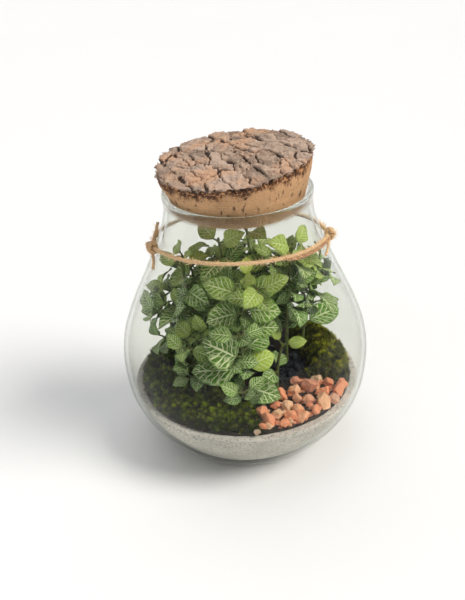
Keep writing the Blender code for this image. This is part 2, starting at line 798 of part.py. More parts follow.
def build_cork():
    cx, cy = CORK_CENTRE
    points = [(0.0, 0.0, CORK_BOTTOM)]
    for z, radius in CORK_RINGS:
        for k in range(CORK_SIDES):
            turn = 2 * math.pi * k / CORK_SIDES
            part = (z - CORK_BOTTOM) / (CORK_TOP - CORK_BOTTOM)
            edge = radius * (1 + (cork_outline(turn) - 1) * part)
            shift = max(0.0, (z - 200.0) / (CORK_TOP - 200.0))
            points.append((edge * math.cos(turn) + cx * shift, edge * math.sin(turn), z))
    for share in (1.0, *BARK_RINGS):
        for k in range(CORK_SIDES):
            turn = 2 * math.pi * k / CORK_SIDES
            radius = CORK_TOP_RADIUS * cork_outline(turn) * share
            x, y = radius * math.cos(turn) + cx, radius * math.sin(turn) + cy
            points.append((x, y, cork_top(x, y, share)))
    points.append((cx, cy, cork_top(cx, cy, 0.0)))
    faces = spun_faces(len(CORK_RINGS) + 1 + len(BARK_RINGS), CORK_SIDES)
    return make_object("cork_stopper", points, faces, COLOURS["cork_stopper"])


def cork_top(x, y, share):
    """Height of the bark: slanted up to the right, a little domed, rough."""
    edge = 1 - share**6
    return CORK_TOP + CORK_SLANT * x + CORK_DOME * (1 - share**2) + edge * bark_relief(x, y)


# Twine

def twine_height(bearing):
    return TWINE_HEIGHT - TWINE_TILT * math.sin(math.radians(bearing))


def twine_point(bearing, below=0.0, lift=0.0):
    """A point on the twine's middle line, outside the glass."""
    near = min(abs((bearing - knot + 180) % 360 - 180) for knot in KNOTS)
    rise = lift + KNOT_LIFT * math.exp(-((near / KNOT_SPREAD) ** 2))
    radius, height = jar_offset(twine_height(bearing) - below, TWINE_RADIUS + GAP + rise)
    turn = math.radians(bearing)
    return Vector((radius * math.cos(turn), radius * math.sin(turn), height))


def ring_mesh(path, radius, sides):
    """A closed ring of tube through points."""
    path = [Vector(p) for p in path]
    count = len(path)
    points, faces = [], []
    middle = sum(path, Vector()) / count
    for k, p in enumerate(path):
        way = (path[(k + 1) % count] - path[k - 1]).normalized()
        out = p - middle
        side = (out - way * out.dot(way)).normalized()
        other = way.cross(side)
        for s in range(sides):
            turn = 2 * math.pi * (s + 0.5) / sides
            points.append(tuple(p + radius * (side * math.cos(turn) + other * math.sin(turn))))
    for k in range(count):
        low, high = k * sides, ((k + 1) % count) * sides
        for s in range(sides):
            after = (s + 1) % sides
            faces.append((low + s, low + after, high + after, high + s))
    return points, faces


def knot_mesh(bearing):
    """A pulled-tight knot: a bead over the strand, lobed where its turns lie side by side."""
    centre = twine_point(bearing, lift=KNOT_RISE)
    way = (twine_point(bearing + 2) - twine_point(bearing - 2)).normalized()
    out = Vector((centre.x, centre.y, 0)).normalized()
    out = (out - way * out.dot(way)).normalized()
    up = way.cross(out)
    points = [tuple(centre - way * KNOT_HALF)]
    for k in range(1, KNOT_ROWS):
        polar = math.pi * k / KNOT_ROWS
        girth = math.sin(polar) ** 0.7 * (1 + 0.10 * math.cos(6 * polar))
        for s in range(KNOT_SIDES):
            turn = 2 * math.pi * s / KNOT_SIDES
            spot = out * math.cos(turn) * KNOT_OUT + up * math.sin(turn) * KNOT_UP
            points.append(tuple(centre - way * KNOT_HALF * math.cos(polar) + spot * girth))
    points.append(tuple(centre + way * KNOT_HALF))
    return points, spun_faces(KNOT_ROWS - 1, KNOT_SIDES)


def tail_path(bearing, turns, drops, lift):
    """A loose end that leaves a knot and follows the glass."""
    return [
        twine_point(bearing + turn, drop, lift)
        for turn, drop in zip(turns, drops)
    ]


def build_twine():
    steps = [-180 + 360 * k / TWINE_STEPS for k in range(TWINE_STEPS)]
    ring = [twine_point(bearing) for bearing in steps]
    twine = make_object("twine", *ring_mesh(ring, TWINE_RADIUS, TWINE_SIDES), COLOURS["twine"], smooth=True)
    first, last = SECOND_STRAND
    second = []
    for k in range(SECOND_STEPS + 1):
        below = SECOND_BELOW * min(1.0, k / 2)
        second.append(twine_point(first + (last - first) * k / SECOND_STEPS, below, 0.25))
    left, right = KNOTS
    tails = [
        (second, TWINE_RADIUS * 0.85),
        (tail_path(left, (0, 3, 6, 8), (0, 4, 8, 13), 0.5), TWINE_RADIUS * 0.8),
        (tail_path(left, (0, -5, -9, -12), (0, -5, -10, -15), 0.5), TWINE_RADIUS * 0.8),
        (tail_path(right, (0, -6, -12, -17), (0, 3, 7, 9), 0.5), TWINE_RADIUS * 0.7),
    ]
    pieces = [make_object("tail", *tube(path, [radius] * len(path), TWINE_SIDES)) for path, radius in tails]
    pieces += [make_object("knot", *knot_mesh(bearing)) for bearing in KNOTS]
    return combine(twine, pieces, "UNION")


def ground_trees(things):
    trees = []
    for thing in things:
        points = [v.co / MM for v in thing.data.vertices]
        trees.append(BVHTree.FromPolygons(points, [tuple(p.vertices) for p in thing.data.polygons]))
    return trees


def main():
    clear_scene()
    feet = [FRONT_FOOT] + [stem[0] for stem in STEMS.values()]
    build_jar()
    build_sand()
    build_soil(feet)
    covers = [build_moss(name, feet) for name in MOSS] + build_gravel(feet)
    build_pale_stone()
    build_plants(ground_trees(covers))
    build_cork()
    build_twine()


main()
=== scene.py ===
"""A closed terrarium, dressed over its packed solids: a pear-shaped glass jar with a cork stopper and a twine
tie, which holds sand, soil, moss, gravel and mosaic-leaved Fittonia.

Settings are in metres. The shape formulas work in millimetres and are scaled where a mesh is made.
"""

import bisect
import math
import random
from collections import namedtuple

import bmesh
import bpy
import numpy as np
from bpy.props import FloatProperty, FloatVectorProperty, IntProperty, PointerProperty
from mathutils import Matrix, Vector, noise
from mathutils.bvhtree import BVHTree


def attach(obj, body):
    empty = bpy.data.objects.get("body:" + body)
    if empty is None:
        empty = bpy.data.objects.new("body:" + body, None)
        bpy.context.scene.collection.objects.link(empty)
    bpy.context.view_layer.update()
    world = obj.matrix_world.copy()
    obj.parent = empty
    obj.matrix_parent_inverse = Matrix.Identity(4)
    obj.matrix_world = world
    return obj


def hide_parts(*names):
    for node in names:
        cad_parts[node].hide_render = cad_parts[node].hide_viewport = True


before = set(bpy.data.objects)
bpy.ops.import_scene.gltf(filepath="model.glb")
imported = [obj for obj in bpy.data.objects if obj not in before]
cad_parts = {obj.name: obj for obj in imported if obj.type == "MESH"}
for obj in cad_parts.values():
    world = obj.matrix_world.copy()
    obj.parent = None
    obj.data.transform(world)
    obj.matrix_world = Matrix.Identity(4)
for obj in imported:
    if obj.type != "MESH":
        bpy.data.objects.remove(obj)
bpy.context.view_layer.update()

bl_info = {
    "name": "Planted Jar",
    "version": (1, 0, 0),
    "blender": (4, 5, 0),
    "location": "3D View > Sidebar > Planted Jar",
    "description": "Builds the pieces, finishes and studio of a corked glass terrarium",
    "category": "Object",
}

MM = 0.001
GAP = 0.3

# Glass jar: height and outer radius from the base to the rim.
JAR_PROFILE = (
    (0.0, 47.0),
    (1.2, 51.0),
    (4.0, 55.6),
    (10.0, 63.0),
    (16.0, 69.0),
    (31.0, 80.0),
    (46.0, 86.6),
    (61.0, 89.4),
    (76.0, 90.0),
    (90.5, 88.1),
    (105.0, 83.5),
    (119.6, 77.4),
    (134.0, 70.6),
    (148.7, 64.0),
    (163.0, 58.0),
    (177.7, 53.3),
    (188.0, 51.6),
    (194.0, 51.6),
)
HEIGHTS = [height for height, radius in JAR_PROFILE]
RADII = [radius for height, radius in JAR_PROFILE]
JAR_WALL = 3.0
JAR_FLOOR = 7.0
JAR_HEIGHT = 200.0
RIM_LIP = 0.7

# Filling: the bowl is the radius and height of the top of the sand under the soil.
SAND_LEVEL = 47.6
SAND_BOWL = ((0.0, 30.0), (45.0, 32.0), (66.0, 38.0), (78.0, 47.6))
SAND_SIDES = 200
SOIL_LEVEL = 49.0
SOIL_RADIUS = 77.4
SOIL_BUMP = 2.6
SOIL_SIDES = 120
ROOT_DEPTH = 9.0
# Where the soil lies open: x, y and reach of a clearing among the stems, which ends at a radius; and a patch
# behind them, from a depth to a radius, and half its width.
CLEARING = (-14.0, 12.0, 17.0)
CLEARING_END = 26.0
BACK_PATCH = (32.0, 70.0, 22.0)
CRUMB_DENSITY = 1000000.0

# Moss cushions: first and last bearing, inner and outer radius, greatest thickness and seed, as in the
# solids. Spill: how many degrees further the sprigs creep towards the stones. Creep: how much nearer to the
# middle they begin. Trim: how far the cushion stops short of the solid, to leave room for them. Density:
# sprigs on a square metre.
Cushion = namedtuple("Cushion", "first last inner outer thick seed spill creep trim columns rows density")
MOSS = {
    "moss_left": Cushion(138.0, 271.0, 39.0, 80.5, 10.0, 3, 4.0, 6.0, 3.6, 110, 40, 430000.0),
    "moss_right": Cushion(-17.0, 48.0, 50.5, 77.0, 16.0, 8, 0.0, 1.0, 1.0, 60, 36, 580000.0),
}
SPRIG_LEAFLETS = 11
LEAFLET_HALF = 0.075

# Stones: x, y, size of each chip; the bed under them is a sector (bearings and radii).
RED_CHIPS = (
    (10, -59, 11), (20, -63, 11), (14, -70, 12), (29, -66, 11), (25, -72, 9), (19, -51, 10),
    (28, -53, 12), (35, -58, 10), (25, -39, 12), (34, -35, 10), (36, -22, 10), (45, -31, 14),
    (44, -47, 12), (38, -66, 10), (54, -51, 13), (48, -60, 10), (55, -38, 11), (66, -37, 12),
    (62, -48, 10), (69, -30, 11), (36, -45, 10), (60, -26, 10), (51, -21, 9), (17, -42, 9),
)
RED_BED = (-84.5, -21.0, 42.0, 75.5)
BLACK_CHIPS = (
    (16, -14, 9), (25, -17, 9), (11, -3, 9), (22, -6, 10), (33, -10, 9), (38, -2, 9), (19, 6, 9),
    (30, 3, 10), (15, 16, 9), (27, 15, 9), (37, 10, 9), (29, 22, 8), (20, 25, 8),
)
BLACK_BED = (24.0, 3.0, 20.0)
PALE_CHIP = (5.6, -79.0, 7.0)
EDGE_CHIPS = 17
CHIP_POINTS = 10

# Fittonia stems: foot, top, first bearing of the leaf pairs, pairs, leaf length.
STEMS = {
    "fittonia_right_back": ((34, 38), (42, 42, 116), 10, 2, 25),
    "fittonia_left_back": ((-30, 22), (-38, 26, 130), 20, 3, 25),
    "fittonia_back": ((2, 32), (3, 38, 138), 70, 3, 26),
    "fittonia_centre": ((-9, 2), (-15, -4, 164), 150, 5, 26),
    "fittonia_top": ((9, 12), (5, 2, 168), 20, 4, 26),
    "fittonia_left": ((-36, -6), (-42, -10, 150), 115, 4, 25),
    "fittonia_far_left": ((-52, 12), (-61, 4, 122), 70, 3, 24),
    "fittonia_low_left": ((-28, -26), (-35, -31, 100), 60, 2, 24),
    "fittonia_right": ((31, 2), (37, -8, 160), 35, 5, 26),
    "fittonia_far_right": ((44, 16), (57, 2, 138), 30, 3, 28),
    "fittonia_low_right": ((22, -24), (27, -32, 92), 75, 2, 19),
}
# The stem that stands in front, leaf by leaf: height, bearing, pitch, length, width.
FRONT_FOOT = (-3, -42)
FRONT_TOP = (2, -32, 146)
FRONT_LEAVES = (
    (62, -32, 2, 25, 20),
    (64, 140, 15, 20, 15),
    (75, 188, 8, 32, 24),
    (77, 8, 22, 21, 17),
    (86, -150, 42, 29, 27),
    (90, 35, 20, 22, 19),
    (104, 168, 14, 24, 20),
    (107, -16, 12, 21, 17),
    (119, 205, 5, 22, 19),
    (121, -20, 10, 22, 20),
    (133, 175, 22, 25, 18),
    (134, -5, 22, 22, 17),
    (144, -80, 40, 14, 12),
    (145, 80, 50, 14, 10),
)
STEM_RADIUS = 1.5
STEM_SIDES = 6
STEM_STEPS = 5
STALK_LENGTH = 5.0
STALK_RADIUS = 0.75
STEM_TAPER = 0.45
FINE_STEM_STEPS = 14
# A blade's outline is sin(pi u^point)^fullness. Its tip is this share of its width, and more where leaves are
# kept clear of one another. Its edges wave in half circles along its length, out of step by the shift.
BLADE = 0.8
BLADE_STEPS = 5
BLADE_POINT = 0.78
BLADE_FULLNESS = 0.9
BLADE_TIP = 0.035
BLADE_END = 0.09
LEAF_WAVE = 0.9
WAVE_TURNS = 3 * math.pi
WAVE_SHIFT = 1.3
LEAF_FOLD = 14.0
SIDE_VEINS = 6.5
FACE_OUT = 1.1
BUSH_CENTRE = (0.0, 24.0)
BUSH_REACH = 34.0
LEAF_CLEARANCE = 0.5
GLASS_CLEARANCE = 0.9
GROUND_CLEARANCE = 4
TRIES = 60
# Side shoots with small leaves: how many up a stem, their length, and the length of their leaves.
SHOOTS = 7
SHOOT_REACH = (5.0, 15.0)
SHOOT_LEAF = (12.0, 19.0)
SHOOT_RADIUS = 0.7
SHOOT_TOP = 149.0
SHOOT_TRIES = 14
# Two more on the front stem, this far up it, which lean out over the stones.
LOW_SHOOTS = (0.06, 0.10)
# Leaves that are younger or whiter than the rest: stem and number, youth, whiteness.
LEAF_LOOKS = {
    ("fittonia_front", 2): (0.0, 0.8),
    ("fittonia_front", 3): (0.75, 0.2),
    ("fittonia_front", 4): (0.0, 1.0),
    ("fittonia_front", 12): (0.8, 0.1),
    ("fittonia_front", 13): (0.9, 0.1),
    ("fittonia_far_left", 3): (0.6, 0.2),
    ("fittonia_far_right", 3): (0.3, 1.0),
    ("fittonia_far_right", 5): (0.3, 0.9),
    ("fittonia_right", 6): (0.2, 0.9),
}

# Cork stopper.
CORK_BOTTOM = 189.5
CORK_RINGS = ((189.5, 44.6), (194.0, 46.4), (200.0, 47.6), (206.0, 49.6), (212.0, 51.8))
CORK_CENTRE = (-2.2, 0.0)
CORK_TOP = 221.5
CORK_SLANT = 0.09
CORK_TOP_RADIUS = 53.8
CORK_DOME = 2.5
CORK_LEAN_FROM = 200.0
CORK_SIDE_ROWS = 40
# Bark plates and the flakes on them: length and width, and the way that they run.
BARK_PLATE = (30.0, 11.0)
BARK_FLAKE = (13.0, 5.5)
BARK_TURN = math.radians(-68)

# Twine.
TWINE_RADIUS = 1.45
TWINE_HEIGHT = 162.0
TWINE_TILT = 8.0
KNOTS = (-164.0, -6.0)
KNOT_LIFT = 2.6
KNOT_SPREAD = 9.0
KNOT_RISE = 0.6
KNOT_HALF = 5.0
KNOT_OUT = 3.7
KNOT_UP = 4.4
KNOT_TURNS = 2.4
TAIL_LIFT = 0.5
SECOND_STRAND = (-62.0, -10.0)
SECOND_STEPS = 10
SECOND_BELOW = 2.3

# Spot that the mirrored panels face, in metres.
JAR_MIDDLE = (0.0, 0.0, 0.12)

# Camera: lens in millimetres on a 36 mm high sensor, place in metres, turn in degrees.
LENS = 56.22
SENSOR = 36.0
CAMERA_SPOT = (0.0, -0.5923, 0.4490)
CAMERA_TURN = (60.2913, 2.7273, -0.8371)


# Settings


def colour_setting(name, description, default):
    return FloatVectorProperty(
        name=name, description=description, default=default, min=0.0, max=1.0, size=3, subtype="COLOR"
    )


def length_setting(name, description, default):
    return FloatProperty(
        name=name, description=description, default=default, min=0.0, unit="LENGTH", precision=5
    )


def amount_setting(name, description, default, least=0.0):
    return FloatProperty(name=name, description=description, default=default, min=least)


def count_setting(name, description, default, least):
    return IntProperty(name=name, description=description, default=default, min=least)


class JarSettings(bpy.types.PropertyGroup):
    """Glass of the jar and the sand in it."""

    sides: count_setting("Sides", "Faces round the jar", 144, 24)
    tint: colour_setting("Tint", "Colour of the glass", (0.87, 0.88, 0.845))
    edge: colour_setting("Edge", "Colour of the glass seen edge on", (0.60, 0.62, 0.58))
    shine: amount_setting("Shine", "Strength of what the glass mirrors", 0.50)
    index: amount_setting("Index", "Index of refraction", 1.33, 1.0)
    sand: colour_setting("Sand", "Main colour of the sand", (0.62, 0.58, 0.53))
    sand_grain: colour_setting("Sand grain", "Colour of the darker grains", (0.22, 0.20, 0.17))


class GroundSettings(bpy.types.PropertyGroup):
    """Soil, moss and stones."""

    soil: colour_setting("Soil", "Colour of the soil", (0.030, 0.021, 0.014))
    crumb: length_setting("Crumb", "Greatest size of a crumb of soil", 0.0016)
    # Painted shade deep in the moss: at the foot of the sprigs, between the clumps, in the creases and on the
    # cushion.
    moss_painted_shade: colour_setting("Moss shade", "Colour deep in the moss", (0.007, 0.011, 0.002))
    moss_left: colour_setting("Left moss", "Colour of the tips on the left", (0.165, 0.240, 0.012))
    moss_right: colour_setting("Right moss", "Colour of the tips on the right", (0.350, 0.420, 0.030))
    moss_dead: colour_setting("Dead moss", "Colour of the dry tufts", (0.260, 0.150, 0.060))
    sprig: length_setting("Sprig", "Height of a sprig of moss", 0.0046)
    brick: colour_setting("Brick", "Colour of most red chips", (0.92, 0.36, 0.185))
    peach: colour_setting("Peach", "Colour of the palest red chips", (1.00, 0.66, 0.40))
    black: colour_setting("Black", "Colour of the black chips", (0.016, 0.018, 0.022))


class PlantSettings(bpy.types.PropertyGroup):
    """Fittonia."""

    rows: count_setting("Rows", "Points along a blade", 16, 4)
    columns: count_setting("Columns", "Points across a blade", 11, 3)
    green: colour_setting("Green", "Colour between the veins", (0.100, 0.245, 0.028))
    fresh: colour_setting("Fresh green", "Colour of the youngest blades", (0.50, 0.64, 0.085))
    vein: colour_setting("Vein", "Colour of the veins", (0.92, 0.98, 0.60))
    stem: colour_setting("Stem", "Colour of the stems", (0.15, 0.21, 0.055))


class StopperSettings(bpy.types.PropertyGroup):
    """Cork and its bark."""

    sides: count_setting("Sides", "Points round the cork", 440, 48)
    rings: count_setting("Rings", "Points from the edge of the bark to its middle", 110, 12)
    crack: length_setting("Crack", "Depth of the cracks in the bark", 0.0026)
    bark: colour_setting("Bark", "Main colour of the bark", (0.355, 0.250, 0.180))
    bark_warm: colour_setting("Warm bark", "Colour of the worn bark", (0.58, 0.33, 0.19))
    cork: colour_setting("Cork", "Colour of the cut cork", (0.56, 0.325, 0.16))
    # Colour of the real pores, and of the painted shade in the cracks and hollows.
    pore_and_crack_shade: colour_setting("Pore", "Colour of cracks and pores", (0.045, 0.024, 0.015))


class TwineSettings(bpy.types.PropertyGroup):
    """Jute round the neck."""

    plies: count_setting("Plies", "Plies twisted into the twine", 3, 1)
    pitch: length_setting("Pitch", "Length of one turn of a ply", 0.0075)
    hair: length_setting("Hair", "Length of a loose fibre", 0.0028)
    hairs: amount_setting("Hairs", "Loose fibres on a square metre", 240000.0)
    jute: colour_setting("Jute", "Colour of the twine", (0.80, 0.53, 0.28))
    stain: colour_setting("Stain", "Colour of the darker strand", (0.36, 0.145, 0.060))


class StudioSettings(bpy.types.PropertyGroup):
    """Floor and light."""

    floor: colour_setting("Floor", "Colour of the floor", (0.83, 0.83, 0.82))
    sky: amount_setting("Sky", "Strength of the even light", 0.30)
    key: amount_setting("Key light", "Strength of the light at the right", 2.9)
    gloss: amount_setting("Gloss", "Brightness of the panels mirrored in the glass", 50.0)
    fill: amount_setting("Fill light", "Strength of the lights at the left and above", 0.9)


GROUPS = {
    "planted_jar_glass": JarSettings,
    "planted_jar_ground": GroundSettings,
    "planted_jar_plants": PlantSettings,
    "planted_jar_stopper": StopperSettings,
    "planted_jar_twine": TwineSettings,
    "planted_jar_studio": StudioSettings,
}


# Node trees written as expressions


def pick(sockets, key):
    """The socket at an index or of a name, or the first in use where there is no key."""
    if isinstance(key, int):
        return sockets[key]
    for socket in sockets:
        if socket.enabled and key in (None, socket.name):
            return socket
    return None


class Value:
    """An output of a node. Arithmetic on it adds Math nodes to its tree."""

    def __init__(self, tree, node, socket):
        self.tree, self.node, self.socket = tree, node, socket

    def out(self, name):
        return Value(self.tree, self.node, pick(self.node.outputs, name))

    def __add__(self, other):
        return self.tree.math("ADD", self, other)

    def __radd__(self, other):
        return self.tree.math("ADD", other, self)

    def __sub__(self, other):
        return self.tree.math("SUBTRACT", self, other)

    def __rsub__(self, other):
        return self.tree.math("SUBTRACT", other, self)

    def __mul__(self, other):
        return self.tree.math("MULTIPLY", self, other)

    def __rmul__(self, other):
        return self.tree.math("MULTIPLY", other, self)

    def __truediv__(self, other):
        return self.tree.math("DIVIDE", self, other)

    def __rtruediv__(self, other):
        return self.tree.math("DIVIDE", other, self)

    def __pow__(self, other):
        return self.tree.math("POWER", self, other)

    def __abs__(self):
        return self.tree.math("ABSOLUTE", self)

    def smooth(self, low, high):
        """0 up to the low value, 1 from the high one, and a smooth rise between."""
        steps = {"Value": self, "From Min": low, "From Max": high}
        return self.tree.node("ShaderNodeMapRange", {"interpolation_type": "SMOOTHSTEP"}, steps)


class Tree:
    """A node tree for a finish or for geometry."""

    def __init__(self, group):
        self.group = group

    def node(self, kind, settings=None, inputs=None, output=None):
        """Adds a node: its type, its settings, and the values or links of its sockets."""
        made = self.group.nodes.new(kind)
        for name, value in (settings or {}).items():
            setattr(made, name, value)
        for key, value in (inputs or {}).items():
            socket = pick(made.inputs, key)
            for source in value if isinstance(value, list) else [value]:
                if isinstance(source, Value):
                    self.group.links.new(source.socket, socket)
                else:
                    socket.default_value = source
        return Value(self, made, pick(made.outputs, output))

    def math(self, operation, *operands):
        return self.node("ShaderNodeMath", {"operation": operation}, dict(enumerate(operands)))

    def vector(self, operation, *operands, **more):
        inputs = {**dict(enumerate(operands)), **more}
        return self.node("ShaderNodeVectorMath", {"operation": operation}, inputs)

    def scaled(self, way, share):
        return self.vector("SCALE", way, Scale=share)

    def total(self, first, *rest):
        for other in rest:
            first = self.vector("ADD", first, other)
        return first

    def parts(self, vector):
        split = self.node("ShaderNodeSeparateXYZ", {}, {"Vector": vector})
        return split, split.out("Y"), split.out("Z")

    def joined(self, x, y, z):
        return self.node("ShaderNodeCombineXYZ", {}, {"X": x, "Y": y, "Z": z})

    def mix(self, share, first, second, blend="MIX"):
        """A colour between two, by a share."""
        colours = {0: share, 6: first, 7: second}
        plain = (Value, float, int)
        colours = {key: held if isinstance(held, plain) else (*held, 1.0) for key, held in colours.items()}
        return self.node("ShaderNodeMix", {"data_type": "RGBA", "blend_type": blend}, colours)


# Finishes

# Colours of grain, stains and wear, which no setting changes.
SHADOW_TINT = (0.97, 0.97, 0.96)
SAND_PALE = (0.80, 0.77, 0.70)
SAND_SPECK = (0.05, 0.045, 0.04)
SOIL_FIBRE = (0.16, 0.10, 0.055)
CRUMB_BARK = (0.19, 0.12, 0.065)
CHIP_PINK = (0.62, 0.31, 0.235)
CHIP_BUFF = (0.78, 0.62, 0.42)
CHIP_STAIN = (0.40, 0.125, 0.070)
CHIP_DUST = (0.78, 0.50, 0.34)
CHIP_PORE = (0.16, 0.06, 0.035)
BLACK_WORN = (0.07, 0.075, 0.085)
STONE_SHADE = (0.36, 0.24, 0.155)
STONE_LIGHT = (0.66, 0.50, 0.36)
LEAF_WARM = (0.25, 0.37, 0.055)
LEAF_COOL = (0.050, 0.165, 0.022)
LEAF_UNDER = (0.16, 0.24, 0.10)
VEIN_UNDER = (0.40, 0.47, 0.27)
STEM_BROWN = (0.11, 0.085, 0.045)
BARK_ASH = (0.44, 0.34, 0.28)
BARK_BROWN = (0.155, 0.088, 0.056)
BARK_STRAW = (0.60, 0.43, 0.31)
BARK_SPECK = (0.13, 0.072, 0.045)
TORN_SHADE = (0.085, 0.036, 0.018)
TORN_LIGHT = (0.66, 0.33, 0.14)
CORK_SPECK = (0.33, 0.165, 0.075)
CORK_LINE = (0.36, 0.19, 0.09)
JUTE_PALE = (0.70, 0.50, 0.31)


def shade(colour, by):
    """A colour made darker or lighter by a factor."""
    return tuple(min(1.0, by * part) for part in colour)


class Finish(Tree):
    """The node tree of one material."""

    def __init__(self, name):
        self.material = bpy.data.materials.new(name)
        self.material.use_nodes = True
        super().__init__(self.material.node_tree)
        self.group.nodes.clear()

    def place(self):
        return self.node("ShaderNodeTexCoord", output="Object")

    def held(self, attribute, output="Fac"):
        """What the piece's mesh holds at each point under this name."""
        return self.node("ShaderNodeAttribute", {"attribute_name": attribute}, output=output)

    def stretched(self, scale, turn=(0.0, 0.0, 0.0)):
        inputs = {"Vector": self.place(), "Scale": scale, "Rotation": turn}
        return self.node("ShaderNodeMapping", {}, inputs)

    def noise(self, scale, detail=3.0, roughness=0.6, where=None):
        inputs = {"Vector": where or self.place(), "Scale": scale, "Detail": detail, "Roughness": roughness}
        return self.node("ShaderNodeTexNoise", {}, inputs)

    def cells(self, scale, feature="F1", where=None, output="Distance"):
        inputs = {"Vector": where or self.place(), "Scale": scale}
        return self.node("ShaderNodeTexVoronoi", {"feature": feature}, inputs, output)

    def bump(self, height, distance, strength=1.0):
        inputs = {"Height": height, "Distance": distance, "Strength": strength}
        return self.node("ShaderNodeBump", {}, inputs)

    def stained(self, colour, field, low, high, share, stain):
        """The colour, with this share of a stain where a field rises from the low value to the high one."""
        return self.mix(field.smooth(low, high) * share, colour, stain)

    def close(self, colour, roughness, **more):
        """Ends the tree in one Principled shader and gives its material."""
        inputs = {"Base Color": colour, "Roughness": roughness, **more}
        shader = self.node("ShaderNodeBsdfPrincipled", {}, inputs)
        self.node("ShaderNodeOutputMaterial", {}, {"Surface": shader})
        return self.material


def glass_finish(look):
    """Clear glass: a thin shell to look through, and thick glass at the rim and where it is seen edge on."""
    tree = Finish("clear_glass")
    facing = tree.node("ShaderNodeLayerWeight", {}, {"Blend": 0.5}, "Facing")
    clear = {"Roughness": 0.0, "Transmission Weight": 1.0}
    coat = {"Coat Weight": look.shine, "Coat Roughness": 0.05, "Coat IOR": look.index}
    thick = {**clear, "Base Color": (*look.edge, 1.0), "IOR": look.index}
    glass = tree.node("ShaderNodeBsdfPrincipled", {}, thick)
    tint = tree.mix(facing.smooth(0.60, 1.0), look.tint, look.edge)
    shell = tree.node("ShaderNodeBsdfPrincipled", {}, {**clear, **coat, "Base Color": tint, "IOR": 1.0})
    share = tree.math("MAXIMUM", facing.smooth(0.78, 1.0), tree.held("lip"))
    seen = tree.node("ShaderNodeMixShader", {}, {0: share, 1: shell, 2: glass})
    lit = tree.node("ShaderNodeBsdfTransparent", {}, {"Color": (*SHADOW_TINT, 1.0)})
    shadow = tree.node("ShaderNodeLightPath", output="Is Shadow Ray")
    mixed = tree.node("ShaderNodeMixShader", {}, {0: shadow, 1: seen, 2: lit})
    tree.node("ShaderNodeOutputMaterial", {}, {"Surface": mixed})
    return tree.material


def sand_finish(look):
    """Fine sand with lighter, darker and black grains."""
    tree = Finish("pale_sand")
    grains = 1300.0
    tone = tree.parts(tree.cells(grains, output="Color"))[0]
    colour = tree.mix(tree.noise(26.0).smooth(0.35, 0.7), look.sand, shade(look.sand, 1.28))
    colour = tree.stained(colour, tone, 0.80, 0.92, 0.8, look.sand_grain)
    colour = tree.stained(colour, 1 - tone, 0.86, 0.96, 0.6, SAND_PALE)
    colour = tree.stained(colour, tree.noise(240.0, 1.0), 0.74, 0.80, 0.75, SAND_SPECK)
    height = tree.cells(grains) * 0.6 + tree.noise(500.0, 4.0)
    return tree.close(colour, 0.95, Normal=tree.bump(height, 0.0005, 0.8))


def soil_finish(look):
    """Dark soil with paler clods and bits of fibre."""
    tree = Finish("dark_soil")
    clods = tree.noise(160.0, 5.0, 0.7)
    colour = tree.mix(clods.smooth(0.42, 0.68), look.soil, shade(look.soil, 2.6))
    colour = tree.stained(colour, tree.noise(900.0, 2.0), 0.66, 0.74, 0.7, SOIL_FIBRE)
    return tree.close(colour, 0.92, Normal=tree.bump(clods + tree.noise(900.0) * 0.6, 0.0022))


def crumb_finish(look):
    """Crumbs of soil, some of bark or root."""
    tree = Finish("soil_crumbs")
    tone = tree.held("tone")
    colour = tree.mix(tone, look.soil, shade(look.soil, 2.8))
    colour = tree.mix(tone.smooth(0.90, 0.96), colour, CRUMB_BARK)
    return tree.close(colour, 0.9, Normal=tree.bump(tree.noise(1500.0), 0.0004))


def moss_finish(name, look, tip):
    """Sprigs with painted shade towards the foot and lighter at the tip, with painted light on the clumps and
    painted shade between them and in the creases between the pillows; some sprigs are dry.
    """
    tree = Finish(name)
    tone, reach = tree.held("tone"), tree.held("reach")
    drift = tree.noise(60.0, 2.0, 0.65)
    # The clumps mix random noise with the pillow heights held as swell, so that the creases between the
    # pillows fall dark: painted shade.
    clump_and_crease_shade = tree.noise(300.0, 2.0) * 0.4 + tree.held("swell") * 0.6
    bright = (min(1.0, tip[0] * 3.4), min(1.0, tip[1] * 3.0), tip[2] * 2.0)
    fresh = tree.mix(tone ** 3.0, shade(tip, 0.50), bright)
    # Painted light and shade: where the clumps lift it the green stays, elsewhere it goes most of the way to
    # the painted shade colour.
    lit = (drift * 0.2 + clump_and_crease_shade * 0.8).smooth(0.36, 0.66)
    fresh = tree.mix(lit, tree.mix(0.85, fresh, look.moss_painted_shade), fresh)
    dry = tree.math("FRACT", tone * 7.0 + drift * 2.0)
    fresh = tree.stained(fresh, dry, 0.91, 0.95, 0.85, look.moss_dead)
    # Painted shade towards the foot of each sprig, deep in the moss.
    colour = tree.mix(reach.smooth(0.10, 0.85), look.moss_painted_shade, fresh)
    return tree.close(colour, 0.9, **{"Specular IOR Level": 0.0})


def chip_finish(look):
    """Fired clay and stone chips: brick, pink and peach, with dusty hollows."""
    tree = Finish("red_chips")
    tone, hue = tree.held("tone"), tree.held("hue")
    drift = tree.noise(190.0, 4.0, 0.65)
    pores = tree.noise(1100.0, 3.0, 0.7)
    colour = tree.mix(tone.smooth(0.35, 1.0), look.brick, look.peach)
    colour = tree.stained(colour, hue, 0.55, 0.95, 0.55, CHIP_PINK)
    colour = tree.stained(colour, hue, 0.12, 0.0, 0.8, CHIP_BUFF)
    colour = tree.stained(colour, drift, 0.45, 0.75, 0.40, CHIP_STAIN)
    colour = tree.stained(colour, 1 - drift, 0.55, 0.75, 0.30, CHIP_DUST)
    colour = tree.stained(colour, pores, 0.62, 0.72, 0.6, CHIP_PORE)
    return tree.close(colour, 0.88, Normal=tree.bump(drift + (1 - pores) * 0.5, 0.0006, 0.8))


